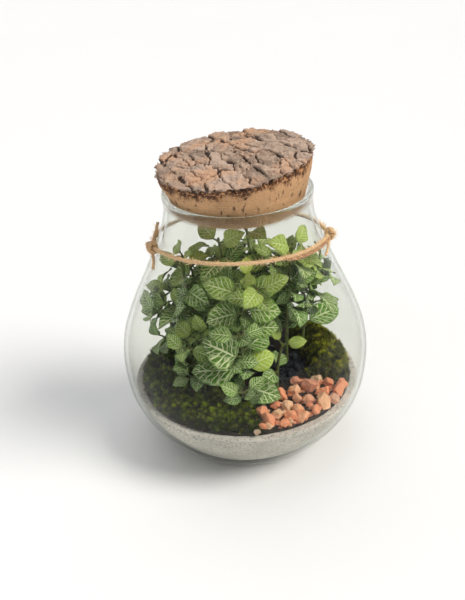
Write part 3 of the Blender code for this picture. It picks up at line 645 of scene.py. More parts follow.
def black_finish(look):
    """Dark stone with a slight gloss."""
    tree = Finish("black_chips")
    drift = tree.noise(240.0, 4.0)
    colour = tree.mix(drift.smooth(0.45, 0.8), look.black, BLACK_WORN)
    return tree.close(colour, 0.16 + drift * 0.25, Normal=tree.bump(drift, 0.0005, 0.6))


def pale_finish():
    """Beige stone."""
    tree = Finish("pale_pebble")
    drift = tree.noise(210.0, 5.0, 0.65)
    colour = tree.mix(drift.smooth(0.35, 0.7), STONE_SHADE, STONE_LIGHT)
    return tree.close(colour, 0.85, Normal=tree.bump(drift, 0.0006))


def leaf_veins(tree, u, v, tone):
    """Share of vein on a blade: a midrib, side veins that curve to the tip, and a net between them."""
    out = abs(v)
    net_rows = 2.6
    midrib = 1 - (out * (1.15 - 0.55 * u)).smooth(0.025, 0.085)
    bend = tree.noise(1.0, 2.0, 0.5, tree.joined(u * 5.0 + tone * 30.0, v * net_rows, 0.0)) - 0.5
    path = (u - (out ** 0.8) * (0.34 - 0.12 * u)) * SIDE_VEINS + 0.35 * tone + bend * 0.8
    near = abs(tree.math("FRACT", path) - 0.5) * 2.0
    lateral = near.smooth(0.68, 0.90) * (1 - out.smooth(0.74, 0.98) * 0.7)
    spot = tree.joined(path * 0.95 + tone * 20.0, v * net_rows, 0.0)
    net = 1 - tree.cells(1.0, "DISTANCE_TO_EDGE", spot).smooth(0.02, 0.11)
    net = net * out.smooth(0.10, 0.35) * (1 - out.smooth(0.88, 1.0) * 0.5)
    return tree.math("MAXIMUM", midrib, tree.math("MAXIMUM", lateral * 0.95, net * 0.5))


def leaf_finish(look):
    """A green blade with pale veins: yellower where young, cooler where its veins are whitest."""
    tree = Finish("leaf_blade")
    u, v, side = tree.parts(tree.held("blade", "Vector"))
    tone, young, white = tree.held("tone"), tree.held("young"), tree.held("white")
    veins = leaf_veins(tree, u, v, tone) * (0.70 + 0.30 * white) * (1 - young * 0.45)
    drift = tree.noise(330.0)
    green = tree.mix(drift.smooth(0.3, 0.7), shade(look.green, 0.62), shade(look.green, 1.35))
    green = tree.mix(tone * 0.45, green, LEAF_WARM)
    green = tree.mix(young, green, look.fresh)
    green = tree.mix((white ** 2.0) * 0.5, green, LEAF_COOL)
    colour = tree.mix(veins, green, look.vein)
    under = tree.mix(veins * 0.5, LEAF_UNDER, VEIN_UNDER)
    colour = tree.mix(side.smooth(0.2, -0.2), colour, under)
    height = (1 - veins) * 0.8 + drift * 0.2
    return tree.close(colour, 0.42, Normal=tree.bump(height, 0.0005, 0.9), **{"Specular IOR Level": 0.28})


def stem_finish(look):
    tree = Finish("green_stem")
    drift = tree.noise(300.0, 4.0)
    colour = tree.mix(drift.smooth(0.4, 0.7), look.stem, STEM_BROWN)
    return tree.close(colour, 0.6, Normal=tree.bump(drift, 0.0003))


def bark_colour(tree, look, fine, broad, streak):
    """Grey-brown layers of bark, worn and streaked."""
    plate, layer = tree.held("plate"), tree.held("layer")
    bark = tree.mix(layer.smooth(0.20, 0.80), shade(look.bark, 0.70), shade(look.bark, 1.45))
    bark = tree.stained(bark, plate, 0.2, 0.9, 0.35, BARK_ASH)
    bark = tree.stained(bark, broad, 0.46, 0.64, 0.80, look.bark_warm)
    bark = tree.stained(bark, streak, 0.52, 0.68, 0.55, BARK_BROWN)
    bark = tree.stained(bark, 1 - streak, 0.52, 0.66, 0.50, BARK_STRAW)
    return tree.stained(bark, fine, 0.56, 0.70, 0.45, BARK_SPECK)


def cut_colour(tree, look, broad, speck, pores):
    """Cut cork, with thin level lines and upright pores."""
    lines = tree.noise(1.0, 3.0, 0.6, tree.stretched((60.0, 60.0, 1500.0)))
    cut = tree.mix(broad.smooth(0.35, 0.70), shade(look.cork, 0.92), shade(look.cork, 1.15))
    cut = tree.stained(cut, speck, 0.50, 0.68, 0.50, CORK_SPECK)
    cut = tree.stained(cut, lines, 0.54, 0.66, 0.55, CORK_LINE)
    return tree.mix(pores * (1 - tree.held("depth").smooth(4.0, 24.0) * 0.6) * 0.92, cut, look.pore_and_crack_shade)


def cork_finish(look):
    """Bark layers above, a torn orange edge, and cut cork with pores below; the cracks, and the hollows of
    the torn edge, are painted in shade.
    """
    tree = Finish("cork_bark")
    crack, depth = tree.held("crack"), tree.held("depth")
    fine = tree.noise(420.0, 5.0, 0.7)
    broad = tree.noise(42.0, 4.0)
    speck = tree.noise(700.0, 3.0, 0.7)
    streak = tree.noise(1.0, 4.0, 0.65, tree.stretched((420.0, 130.0, 300.0), (0.0, 0.0, 0.25)))
    pores = tree.noise(1.0, 3.0, 0.6, tree.stretched((330.0, 330.0, 100.0))).smooth(0.61, 0.68)
    torn = tree.mix(tree.noise(520.0, 4.0, 0.7).smooth(0.48, 0.64), TORN_SHADE, TORN_LIGHT)
    edge = depth + (fine - 0.5) * 3.5
    side = tree.mix(edge.smooth(3.0, 5.5), torn, cut_colour(tree, look, broad, speck, pores))
    colour = tree.mix(edge.smooth(0.4, 1.3), bark_colour(tree, look, fine, broad, streak), side)
    # Painted shade in the cracks of the bark and in the hollows of the torn edge.
    colour = tree.stained(colour, crack, 0.20, 0.70, 0.93, look.pore_and_crack_shade)
    height = fine * 0.6 + streak * 0.6 + speck * 0.3 - pores * depth.smooth(2.0, 5.0) * 0.8
    return tree.close(colour, 0.9, Normal=tree.bump(height, 0.0010))


def twine_finish(look):
    """Jute fibres that run along each ply."""
    tree = Finish("jute_twine")
    run, turn, stain = tree.held("run"), tree.held("round"), tree.held("stain")
    fibre = tree.noise(1.0, 4.0, 0.7, tree.joined(run * 260.0, turn * 16.0, 0.0))
    colour = tree.mix(fibre.smooth(0.35, 0.68), shade(look.jute, 0.62), shade(look.jute, 1.25))
    colour = tree.stained(colour, tree.noise(120.0), 0.45, 0.75, 0.35, JUTE_PALE)
    colour = tree.mix(stain * 0.8, colour, look.stain)
    return tree.close(colour, 0.88, Normal=tree.bump(fibre, 0.0003, 0.9), **{"Sheen Weight": 0.3})


def hair_finish(look):
    tree = Finish("jute_hair")
    return tree.close(tree.mix(tree.held("tone"), look.jute, shade(look.jute, 1.5)), 0.8)


# Meshes


def linked(name, data):
    """A new object in the scene that shows a mesh, a light or a camera."""
    thing = bpy.data.objects.new(name, data)
    bpy.context.scene.collection.objects.link(thing)
    return thing


def bare_mesh(name, points, edges, faces, values):
    """A mesh from points in millimetres, which holds numbers or vectors at each point."""
    mesh = bpy.data.meshes.new(name)
    mesh.from_pydata((np.asarray(points, float).reshape(-1, 3) * MM).tolist(), edges, faces)
    for label, numbers in values.items():
        numbers = np.asarray(numbers, np.float32)
        kind, key = ("FLOAT_VECTOR", "vector") if numbers.ndim == 2 else ("FLOAT", "value")
        mesh.attributes.new(label, kind, "POINT").data.foreach_set(key, numbers.ravel())
    return mesh


def solid(name, points, faces, finish=None, values=None, smooth=True):
    """A mesh object from points in millimetres, its faces turned outwards."""
    mesh = bare_mesh(name, points, [], faces, values or {})
    work = bmesh.new()
    work.from_mesh(mesh)
    bmesh.ops.recalc_face_normals(work, faces=work.faces)
    work.to_mesh(mesh)
    work.free()
    mesh.polygons.foreach_set("use_smooth", [smooth] * len(mesh.polygons))
    if finish:
        mesh.materials.append(finish)
    return linked(name, mesh)


def twin(thing):
    """A bare object with a copy of this one's mesh."""
    return linked(thing.name + "_base", thing.data.copy())


def settle(piece, slot, *nodes):
    """Rides the piece on the jar's body and lets it stand for its CAD nodes. The slot is not used."""
    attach(piece, "root")
    if nodes:
        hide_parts(*nodes)
    return piece


def spun_faces(rings, sides):
    """Faces of a body whose points are a first pole, rings of this many sides, and a last pole."""
    faces = []
    last = 1 + rings * sides
    top = last - sides
    for k in range(sides):
        after = (k + 1) % sides
        faces.append((0, 1 + after, 1 + k))
        for low in range(1, top, sides):
            high = low + sides
            faces.append((low + k, low + after, high + after, high + k))
        faces.append((top + k, top + after, last))
    return faces


def spin(profile, sides):
    """A closed body turned round Z from (radius, height) pairs that start and end at the axis."""
    rings = np.array(profile[1:-1])
    turn = 2 * math.pi * np.arange(sides) / sides
    x, y = np.outer(rings[:, 0], np.cos(turn)), np.outer(rings[:, 0], np.sin(turn))
    z = np.repeat(rings[:, 1:], sides, axis=1)
    points = np.stack([x, y, z], axis=-1).reshape(-1, 3)
    first, last = ((0.0, 0.0, profile[end][1]) for end in (0, -1))
    return np.vstack([first, points, last]), spun_faces(len(rings), sides)


def slab(bottom, top, columns, rows):
    """A closed body between two grids of the same layout."""
    count = len(bottom)
    wide = rows + 1
    faces = []
    for i in range(columns):
        for j in range(rows):
            a = i * wide + j
            b, c, d = a + 1, a + wide + 1, a + wide
            faces += [(a, b, c, d), (count + a, count + d, count + c, count + b)]
    rim = list(range(wide))
    rim += [i * wide + rows for i in range(1, columns + 1)]
    rim += [columns * wide + j for j in range(rows - 1, -1, -1)]
    rim += [i * wide for i in range(columns - 1, 0, -1)]
    for a, b in zip(rim, [*rim[1:], rim[0]]):
        faces.append((a, count + a, count + b, b))
    return [*bottom, *top], faces


def strung(lines):
    """The points of some lines in one list, and the edges along each of them."""
    points, edges = [], []
    for line in lines:
        edges += [(len(points) + k, len(points) + k + 1) for k in range(len(line) - 1)]
        points += [tuple(p) for p in line]
    return points, edges


def smooth_path(points, steps):
    """A rounder line through points, with this many steps between each two."""
    path = []
    count = len(points)
    for k in range(count - 1):
        p0, p1 = points[max(k - 1, 0)], points[k]
        p2, p3 = points[k + 1], points[min(k + 2, count - 1)]
        for s in range(steps):
            t = s / steps
            path.append(0.5 * (2 * p1 + (p2 - p0) * t + (2 * p0 - 5 * p1 + 4 * p2 - p3) * t**2
                               + (3 * p1 - p0 - 3 * p2 + p3) * t**3))
    return [*path, points[-1]]


def pebble(name, seed, uneven):
    """An uneven lump about 1 m across with twenty faces, to be scaled down."""
    rng = random.Random(seed)
    work = bmesh.new()
    bmesh.ops.create_icosphere(work, subdivisions=1, radius=0.5)
    for vertex in work.verts:
        vertex.co *= 1 + rng.uniform(-uneven, uneven)
    mesh = bpy.data.meshes.new(name)
    work.to_mesh(mesh)
    work.free()
    return linked(name, mesh)


# Geometry node trees


def open_tree(name, sockets):
    """A geometry tree with a geometry input and these named ones, and its group of inputs."""
    group = bpy.data.node_groups.new(name, "GeometryNodeTree")
    group.interface.new_socket("Geometry", in_out="OUTPUT", socket_type="NodeSocketGeometry")
    group.interface.new_socket("Geometry", in_out="INPUT", socket_type="NodeSocketGeometry")
    for label, kind in sockets.items():
        group.interface.new_socket(label, in_out="INPUT", socket_type="NodeSocket" + kind)
    tree = Tree(group)
    return tree, tree.node("NodeGroupInput")


def end_tree(tree, geometry, *finishes):
    """Ends a tree in real mesh, with each finish on the part that is named with it."""
    done = tree.node("GeometryNodeRealizeInstances", {}, {"Geometry": geometry})
    for finish, where in finishes:
        inputs = {"Geometry": done, "Material": finish, "Selection": where}
        done = tree.node("GeometryNodeSetMaterial", {}, inputs)
    tree.node("NodeGroupOutput", {}, {"Geometry": done})
    return tree


def named(tree, label, kind="FLOAT"):
    return tree.node("GeometryNodeInputNamedAttribute", {"data_type": kind}, {"Name": label})


def stored(tree, geometry, label, value, kind="FLOAT", domain="POINT"):
    settings = {"data_type": kind, "domain": domain}
    inputs = {"Geometry": geometry, "Name": label, "Value": value}
    return tree.node("GeometryNodeStoreNamedAttribute", settings, inputs)


def drawn(tree, low, high, seed, kind="FLOAT"):
    """A random value between two, one for each point or copy."""
    inputs = {"Min": low, "Max": high, "Seed": seed}
    return tree.node("FunctionNodeRandomValue", {"data_type": kind}, inputs)


def unit_ring(tree, sides):
    return tree.node("GeometryNodeCurvePrimitiveCircle", {}, {"Resolution": sides, "Radius": 1.0}, "Curve")


def tubes(tree, lines, ring, girth):
    """Tubes of this girth along lines, closed at their ends."""
    inputs = {"Curve": lines, "Profile Curve": ring, "Scale": girth, "Fill Caps": True}
    return tree.node("GeometryNodeCurveToMesh", {}, inputs)


def grow(name, base, tree, inputs):
    """The plain mesh object that a geometry tree makes from a base, which it removes."""
    modifier = base.modifiers.new("grow", "NODES")
    modifier.node_group = tree.group
    for item in tree.group.interface.items_tree:
        if item.item_type == "SOCKET" and item.in_out == "INPUT" and item.name in inputs:
            modifier[item.identifier] = inputs[item.name]
    graph = bpy.context.evaluated_depsgraph_get()
    grown = base.evaluated_get(graph)
    mesh = bpy.data.meshes.new_from_object(grown, preserve_all_data_layers=True, depsgraph=graph)
    mesh.name = name
    bpy.data.objects.remove(base)
    drop_bare_slots(mesh)
    return linked(name, mesh)


def drop_bare_slots(mesh):
    """Leaves a mesh only the material slots that hold one."""
    held = list(mesh.materials)
    index = np.empty(len(mesh.polygons), np.int32)
    mesh.polygons.foreach_get("material_index", index)
    kept = [k for k, finish in enumerate(held) if finish]
    mesh.materials.clear()
    for k in kept:
        mesh.materials.append(held[k])
    mesh.polygons.foreach_set("material_index", np.searchsorted(kept, index).astype(np.int32))


def strewn_tree():
    """Copies of a shape, strewn over the faces of a mesh that look up."""
    sockets = {
        "Shape": "Object", "Density": "Float", "Smallest": "Float", "Largest": "Float", "Lean": "Float",
        "Along normal": "Float", "Steepest": "Float", "Seed": "Int", "Finish": "Material",
    }
    tree, given = open_tree("strewn_shapes", sockets)
    level = tree.parts(tree.node("GeometryNodeInputNormal"))[2] - given.out("Steepest")
    room = given.out("Density") * (1 - named(tree, "covered"))
    spread = {"Mesh": given.out("Geometry"), "Selection": level, "Density": room, "Seed": given.out("Seed")}
    spots = tree.node("GeometryNodeDistributePointsOnFaces", {}, spread)
    way = tree.total(tree.scaled(spots.out("Normal"), given.out("Along normal")), (0.0, 0.0, 1.0))
    upright = tree.node("FunctionNodeAlignRotationToVector", {"axis": "Z"}, {"Vector": way})
    lean = given.out("Lean")
    back = 0 - lean
    most, least = tree.joined(lean, lean, 2 * math.pi), tree.joined(back, back, 0.0)
    turned = {"Rotation": upright, "Rotate By": drawn(tree, least, most, 1, "FLOAT_VECTOR")}
    facing = tree.node("FunctionNodeRotateRotation", {"rotation_space": "LOCAL"}, turned)
    size = drawn(tree, given.out("Smallest"), given.out("Largest"), 2)
    shape = tree.node("GeometryNodeObjectInfo", {}, {"Object": given.out("Shape")}, "Geometry")
    copies = {"Points": spots, "Instance": shape, "Rotation": facing, "Scale": size}
    placed = tree.node("GeometryNodeInstanceOnPoints", {}, copies)
    for label, seed in (("tone", 3), ("hue", 4)):
        placed = stored(tree, placed, label, drawn(tree, 0.0, 1.0, seed), domain="INSTANCE")
    return end_tree(tree, placed, (given.out("Finish"), True))


def strew(name, piece, shape, finish, density, sizes, seed, places):
    """Copies of a shape over a piece, as one mesh: how many on a square metre, their least and full size, and
    how they lean and where they lie."""
    smallest, largest = sizes
    copies = {"Shape": shape, "Finish": finish, "Density": density, "Seed": seed}
    inputs = {**copies, "Smallest": smallest, "Largest": largest, **places}
    return grow(name, twin(piece), strewn_tree(), inputs)


def blade_unit(tree, given):
    """A closed unit blade, which holds its share along, across and through at each point."""
    size = {"Size X": 1.0, "Size Y": 2.0, "Vertices X": given.out("Rows"), "Vertices Y": given.out("Columns")}
    sheet = tree.node("GeometryNodeMeshGrid", {}, size)
    under = tree.node("GeometryNodeFlipFaces", {}, {"Mesh": sheet})
    lift = {"Mesh": sheet, "Offset": (0.0, 0.0, 1.0), "Offset Scale": 1.0, "Individual": False}
    above = tree.node("GeometryNodeExtrudeMesh", {"mode": "FACES"}, lift)
    both = tree.node("GeometryNodeJoinGeometry", {}, {"Geometry": [under, above]})
    closed = tree.node("GeometryNodeMergeByDistance", {}, {"Geometry": both, "Distance": 0.0001})
    x, y, z = tree.parts(tree.node("GeometryNodeInputPosition"))
    u = 0.5 - tree.math("COSINE", (x + 0.5) * math.pi) * 0.5
    v = tree.math("SINE", y * (math.pi / 2))
    return stored(tree, closed, "blade", tree.joined(u, v, z * 2 - 1), "FLOAT_VECTOR")


def blade_spot(tree, given):
    """Where a point of a blade lies: bowed along its length, folded at the midrib and waved at the edge."""
    u, v, side = tree.parts(named(tree, "blade", "FLOAT_VECTOR"))
    length, droop = named(tree, "length"), named(tree, "droop")
    arch = tree.math("SINE", tree.math("MAXIMUM", u, 0.0) ** BLADE_POINT * math.pi)
    share = tree.math("MAXIMUM", tree.math("MAXIMUM", arch, 0.0001) ** BLADE_FULLNESS, BLADE_TIP)
    half = named(tree, "width") * share * 0.5
    bow = droop * u
    reach = length * tree.math("SINE", bow) / droop
    sink = length * (1 - tree.math("COSINE", bow)) / droop
    shift = named(tree, "phase") + WAVE_SHIFT * tree.math("LESS_THAN", v, 0.0)
    wave = given.out("Wave") * tree.math("SINE", u * WAVE_TURNS + shift) * v * v
    lift = side * given.out("Blade") * (0.5 - 0.28 * v * v)
    fold = given.out("Fold")
    rise = abs(v) * half * tree.math("SINE", fold) + wave + lift
    along = tree.scaled(named(tree, "along", "FLOAT_VECTOR"), reach + rise * tree.math("SINE", bow))
    face = tree.scaled(named(tree, "face", "FLOAT_VECTOR"), rise * tree.math("COSINE", bow) - sink)
    across = tree.scaled(named(tree, "side_way", "FLOAT_VECTOR"), v * half * tree.math("COSINE", fold))
    return tree.total(named(tree, "start", "FLOAT_VECTOR"), along, face, across)


def plant_tree():
    """A leafy stem from a sketch: its lines become canes, and its loose points blades."""
    sockets = {
        "Rows": "Int", "Columns": "Int", "Blade": "Float", "Fold": "Float", "Wave": "Float", "Sides": "Int",
        "Leaf finish": "Material", "Stem finish": "Material",
    }
    tree, given = open_tree("leafy_stem", sockets)
    split = {"Geometry": given.out("Geometry"), "Selection": named(tree, "leafy")}
    leafy = tree.node("GeometryNodeSeparateGeometry", {"domain": "POINT"}, split, "Selection")
    copies = {"Points": leafy, "Instance": blade_unit(tree, given)}
    placed = tree.node("GeometryNodeInstanceOnPoints", {}, copies)
    blades = tree.node("GeometryNodeRealizeInstances", {}, {"Geometry": placed})
    shaped = {"Geometry": blades, "Position": blade_spot(tree, given)}
    blades = tree.node("GeometryNodeSetPosition", {}, shaped)
    lines = tree.node("GeometryNodeMeshToCurve", {}, {"Mesh": leafy.out("Inverted")})
    canes = tubes(tree, lines, unit_ring(tree, given.out("Sides")), named(tree, "girth"))
    whole = tree.node("GeometryNodeJoinGeometry", {}, {"Geometry": [blades, canes]})
    whole = tree.node("GeometryNodeSetShadeSmooth", {}, {"Geometry": whole})
    finishes = (given.out("Stem finish"), True), (given.out("Leaf finish"), named(tree, "leafy"))
    return end_tree(tree, whole, *finishes)


def twine_tree():
    """Plies twisted round the lines of a sketch."""
    sockets = {"Plies": "Int", "Pitch": "Float", "Step": "Float", "Sides": "Int", "Finish": "Material"}
    tree, given = open_tree("twisted_plies", sockets)
    lines = tree.node("GeometryNodeMeshToCurve", {}, {"Mesh": given.out("Geometry")})
    even = {"Curve": lines, "Length": given.out("Step")}
    lines = tree.node("GeometryNodeResampleCurve", {"mode": "LENGTH"}, even)
    copies = {"Geometry": lines, "Amount": given.out("Plies")}
    lines = tree.node("GeometryNodeDuplicateElements", {"domain": "SPLINE"}, copies)
    along = tree.node("GeometryNodeSplineParameter", output="Length")
    start = lines.out("Duplicate Index") / given.out("Plies")
    angle = (along / given.out("Pitch") + start) * (2 * math.pi)
    normal = tree.node("GeometryNodeInputNormal")
    other = tree.vector("CROSS_PRODUCT", tree.node("GeometryNodeInputTangent"), normal)
    girth = named(tree, "girth")
    aside = tree.total(
        tree.scaled(normal, tree.math("COSINE", angle) * girth * 0.5),
        tree.scaled(other, tree.math("SINE", angle) * girth * 0.5),
    )
    plies = tree.node("GeometryNodeSetPosition", {}, {"Geometry": lines, "Offset": aside})
    plies = stored(tree, plies, "run", along + start)
    turn = tree.node("GeometryNodeSplineParameter", output="Factor")
    ring = stored(tree, unit_ring(tree, given.out("Sides")), "round", turn)
    mesh = tubes(tree, plies, ring, girth * 0.50)
    mesh = tree.node("GeometryNodeSetShadeSmooth", {}, {"Geometry": mesh})
    return end_tree(tree, mesh, (given.out("Finish"), True))


# Fields over the plan


def waves(x, y, seed):
    """A smooth, uneven field between about -1 and 1 over the plan, with waves 9 to 26 mm long."""
    rng = random.Random(seed)
    total = 0.0
    for _ in range(5):
        turn = rng.uniform(0, 2 * math.pi)
        long = rng.uniform(9.0, 26.0)
        phase = rng.uniform(0, 2 * math.pi)
        total = total + np.sin(2 * math.pi * (x * math.cos(turn) + y * math.sin(turn)) / long + phase)
    return total / 3.2


def grain(x, y, size, seed):
    """Smooth random values between 0 and 1 whose lumps are of this size."""
    table = np.random.default_rng(seed).random((128, 128))
    p, q = np.asarray(x) / size + 300.0, np.asarray(y) / size + 300.0
    i, j = np.floor(p).astype(int), np.floor(q).astype(int)
    a, b = p - i, q - j
    a, b = a * a * (3 - 2 * a), b * b * (3 - 2 * b)
    low = table[i % 128, j % 128] * (1 - a) + table[(i + 1) % 128, j % 128] * a
    high = table[i % 128, (j + 1) % 128] * (1 - a) + table[(i + 1) % 128, (j + 1) % 128] * a
    return low * (1 - b) + high * b


def plates(x, y, long, wide, turn, seed):
    """Uneven cells of this length and width: how far a spot is from the edge of its cell and from the next
    edge, and its cell's own random number."""
    cos, sin = math.cos(turn), math.sin(turn)
    p, q = (x * cos + y * sin) / long + 200.0, (y * cos - x * sin) / wide + 200.0
    table = np.random.default_rng(seed).random((64, 64, 3))
    i, j = np.floor(p).astype(int), np.floor(q).astype(int)
    steps = [(di, dj) for di in range(-2, 3) for dj in range(-2, 3)]
    seeds = np.array([table[(i + di) % 64, (j + dj) % 64] for di, dj in steps])
    gap_x = np.array([p - i - di - 0.1 for di, dj in steps]) - 0.8 * seeds[..., 0]
    gap_y = np.array([q - j - dj - 0.1 for di, dj in steps]) - 0.8 * seeds[..., 1]
    order = np.argsort(np.hypot(gap_x, gap_y), axis=0)[:5]
    gap_x, gap_y, number = (np.take_along_axis(held, order, 0) for held in (gap_x, gap_y, seeds[..., 2]))
    apart = np.hypot((gap_x[1:] - gap_x[0]) / long, (gap_y[1:] - gap_y[0]) / wide)
    edges = (gap_x[1:] ** 2 + gap_y[1:] ** 2 - gap_x[0] ** 2 - gap_y[0] ** 2) / (2 * apart)
    edge, corner = np.sort(edges, axis=0)[:2]
    return edge, corner, number[0]


def rise(value, low, high):
    """0 up to the low value, 1 from the high one, and a smooth rise between."""
    share = np.clip((value - low) / (high - low), 0.0, 1.0)
    return share * share * (3 - 2 * share)


def ramp(distance, width):
    """0 below nothing, 1 above the width, straight between."""
    return max(0.0, min(1.0, distance / width))


# Jar and sand


def profile_slope(k):
    low, high = max(k - 1, 0), min(k + 1, len(HEIGHTS) - 1)
    return (RADII[high] - RADII[low]) / (HEIGHTS[high] - HEIGHTS[low])


def jar_radius(height):
    """Outer radius of the jar, by a smooth curve through the profile."""
    height = min(max(height, HEIGHTS[0]), HEIGHTS[-1])
    i = max(0, min(bisect.bisect_right(HEIGHTS, height) - 1, len(HEIGHTS) - 2))
    step = HEIGHTS[i + 1] - HEIGHTS[i]
    t = (height - HEIGHTS[i]) / step
    curve = (2 * t**3 - 3 * t**2 + 1) * RADII[i] + (3 * t**2 - 2 * t**3) * RADII[i + 1]
    bend = (t**3 - 2 * t**2 + t) * profile_slope(i) + (t**3 - t**2) * profile_slope(i + 1)
    return curve + step * bend


def jar_offset(height, distance):
    """Radius and height of the point that lies this far out from the jar's outer surface."""
    slope = jar_radius(height + 0.5) - jar_radius(height - 0.5)
    across = 1 / math.hypot(1, slope)
    return jar_radius(height) + distance * across, height - distance * slope * across


def wall_radius(height, inset):
    """Radius at which the inner line of the wall, at this inset, reaches a height."""
    line = [jar_offset(h, -inset) for h in HEIGHTS[2:]]
    return float(np.interp(height, [z for r, z in line], [r for r, z in line]))


def wall_line(inset, floor, top, steps):
    """Inner line of the jar's wall at this inset, from the floor up to a height, in fine steps."""
    line = [jar_offset(height, -inset) for height in np.linspace(3.0, HEIGHTS[-1], steps)]
    kept = [p for p in line if floor + 0.4 < p[1] < top - 0.4]
    low = [p for p in line if p[1] <= floor + 0.4][-1]
    return [(low[0], floor), *kept]


def arc(centre, radius, first, last, steps):
    turns = np.radians(np.linspace(first, last, steps))
    return [(centre[0] + radius * math.cos(t), centre[1] + radius * math.sin(t)) for t in turns]


def jar_profile():
    """Outline of the glass from the middle of its base, over the rolled rim, to the middle of its floor."""
    foot, neck = 4.0, 193.0
    heights = [*np.linspace(0.0, foot, 10)[:-1], *np.linspace(foot, neck, 110)]
    outer = [(jar_radius(h), h) for h in heights]
    inner = wall_line(JAR_WALL, JAR_FLOOR, JAR_HEIGHT, 120)
    middle = RADII[-1] - JAR_WALL / 2
    roll = JAR_WALL / 2 + RIM_LIP
    lip = arc((middle, JAR_HEIGHT - roll), roll, -40, 175, 18)
    lip = [(max(r, inner[-1][0]), z) for r, z in lip]
    base = [(0.0, 0.0), (RADII[0] * 0.5, 0.0)]
    return [*base, *outer, *lip, *reversed(inner), (inner[0][0] * 0.5, JAR_FLOOR), (0.0, JAR_FLOOR)]


def make_jar(look):
    """The glass, marked at the rim, where the finish makes it thick."""
    points, faces = spin(jar_profile(), look.sides)
    values = {"lip": rise(points[:, 2], 190.0, 196.0)}
    piece = solid("jar_glass", points, faces, glass_finish(look), values)
    return settle(piece, "glass_jar", "glass_jar")


def make_sand(look):
    """Sand that fills the foot of the jar, with a bowl for the soil and an uneven shore along the glass."""
    wall = wall_line(JAR_WALL + GAP, JAR_FLOOR + GAP, SAND_LEVEL - 0.6, 90)
    edge = wall_radius(SAND_LEVEL, JAR_WALL + GAP)
    shore = [(edge - 0.1, SAND_LEVEL - 0.3), (edge - 0.8, SAND_LEVEL)]
    shore += [(edge - 0.8 - k * 0.7, SAND_LEVEL) for k in range(1, 8)]
    profile = [(0.0, JAR_FLOOR + GAP), *wall, *shore, *reversed(SAND_BOWL)]
    points, faces = spin(profile, SAND_SIDES)
    radius = np.hypot(points[:, 0], points[:, 1])
    beach = (points[:, 2] > SAND_LEVEL - 0.05) & (radius > SOIL_RADIUS + 0.9)
    points[beach, 2] += 0.9 * grain(points[beach, 0], points[beach, 1], 5.0, 7) - 0.3
    piece = solid("sand_bed", points, faces, sand_finish(look))
    return settle(piece, "drainage_sand", "drainage_sand")


# Soil and moss


def open_soil(x, y):
    """How far a spot lies in the soil that nothing covers: 1 there, 0 under moss and gravel."""
    radius = math.hypot(x, y)
    cx, cy, reach = CLEARING
    middle = ramp(reach - math.hypot(x - cx, y - cy), 8) * (radius < CLEARING_END)
    depth, end, half = BACK_PATCH
    back = ramp(y - depth, 10) * ramp(end - radius, 8) * ramp(half - abs(x), 10)
    return max(middle, back)


def bare_soil(x, y):
    """Share of crumbs at a spot: most of them on open soil, and half along the glass behind it."""
    strip = ramp(y - 40, 12) * ramp(75 - math.hypot(x, y), 2)
    return max(open_soil(x, y), 0.5 * strip)


def soil_top(x, y):
    """Height of the soil at a spot: raised where it is open, and lumpy all over."""
    mound = open_soil(x, y) * SOIL_BUMP * (0.6 + 0.4 * waves(x, y, 5))
    lump = float(grain(x, y, 3.2, 9)) + 0.5 * float(grain(x, y, 1.5, 10))
    return SOIL_LEVEL + mound - 0.2 + 0.45 * lump


def make_soil(look):
    """The soil, and the crumbs that lie where it is bare."""
    lower = [(radius, height + GAP) for radius, height in SAND_BOWL[:-1]]
    brink = np.interp(SOIL_RADIUS, [p[0] for p in SAND_BOWL], [p[1] for p in SAND_BOWL])
    level = [(radius, SOIL_LEVEL) for radius in np.linspace(SOIL_RADIUS, 2.0, 40)]
    profile = [*lower, (SOIL_RADIUS, brink + GAP), *level, (0.0, SOIL_LEVEL)]
    points, faces = spin(profile, SOIL_SIDES)
    for p in points:
        if p[2] == SOIL_LEVEL:
            p[2] = soil_top(p[0], p[1])
    covered = [1 - bare_soil(p[0], p[1]) * (p[2] > SOIL_LEVEL - 1) for p in points]
    piece = solid("soil_bed", points, faces, soil_finish(look), {"covered": covered})
    settle(piece, "potting_soil", "potting_soil")
    shape = pebble("crumb_shape", 5, 0.32)
    places = {"Lean": 3.0, "Along normal": 0.0, "Steepest": 0.5}
    sizes = (0.0005, look.crumb)
    crumbs = strew("soil_crumbs", piece, shape, crumb_finish(look), CRUMB_DENSITY, sizes, 6, places)
    bpy.data.objects.remove(shape)
    return settle(crumbs, "potting_soil")


def moss_spot(along, across, cushion):
    """Plan position in a cushion, from its first bearing to its last and from its inner edge to its outer."""
    end_wave = 2.6 * waves(80 * across, 0, cushion.seed + 2) * (2 * along - 1) ** 3
    last = cushion.last + cushion.spill
    turn = math.radians(cushion.first + (last - cushion.first) * along + end_wave)
    ragged = waves(60 * math.cos(turn), 60 * math.sin(turn), cushion.seed + 1)
    inner, outer = cushion.inner - cushion.creep, cushion.outer - cushion.trim
    radius = inner + (outer - inner) * across
    radius += 3.0 * ragged * (1 - across) ** 2 - 2.2 * abs(ragged) * across**3
    return radius * math.cos(turn), radius * math.sin(turn)


def moss_thickness(share_along, share_across, x, y, cushion):
    """Thickness of a cushion: thin at the edge, full inside, uneven all over."""
    along = 1 - abs(2 * share_along - 1) ** 5
    across = 1 - abs(2 * share_across - 1) ** 3
    body = 0.22 + 0.78 * max(along, 0.0) ** 0.6 * max(across, 0.0) ** 0.7
    return cushion.thick * body * (0.84 + 0.16 * waves(x, y, cushion.seed))


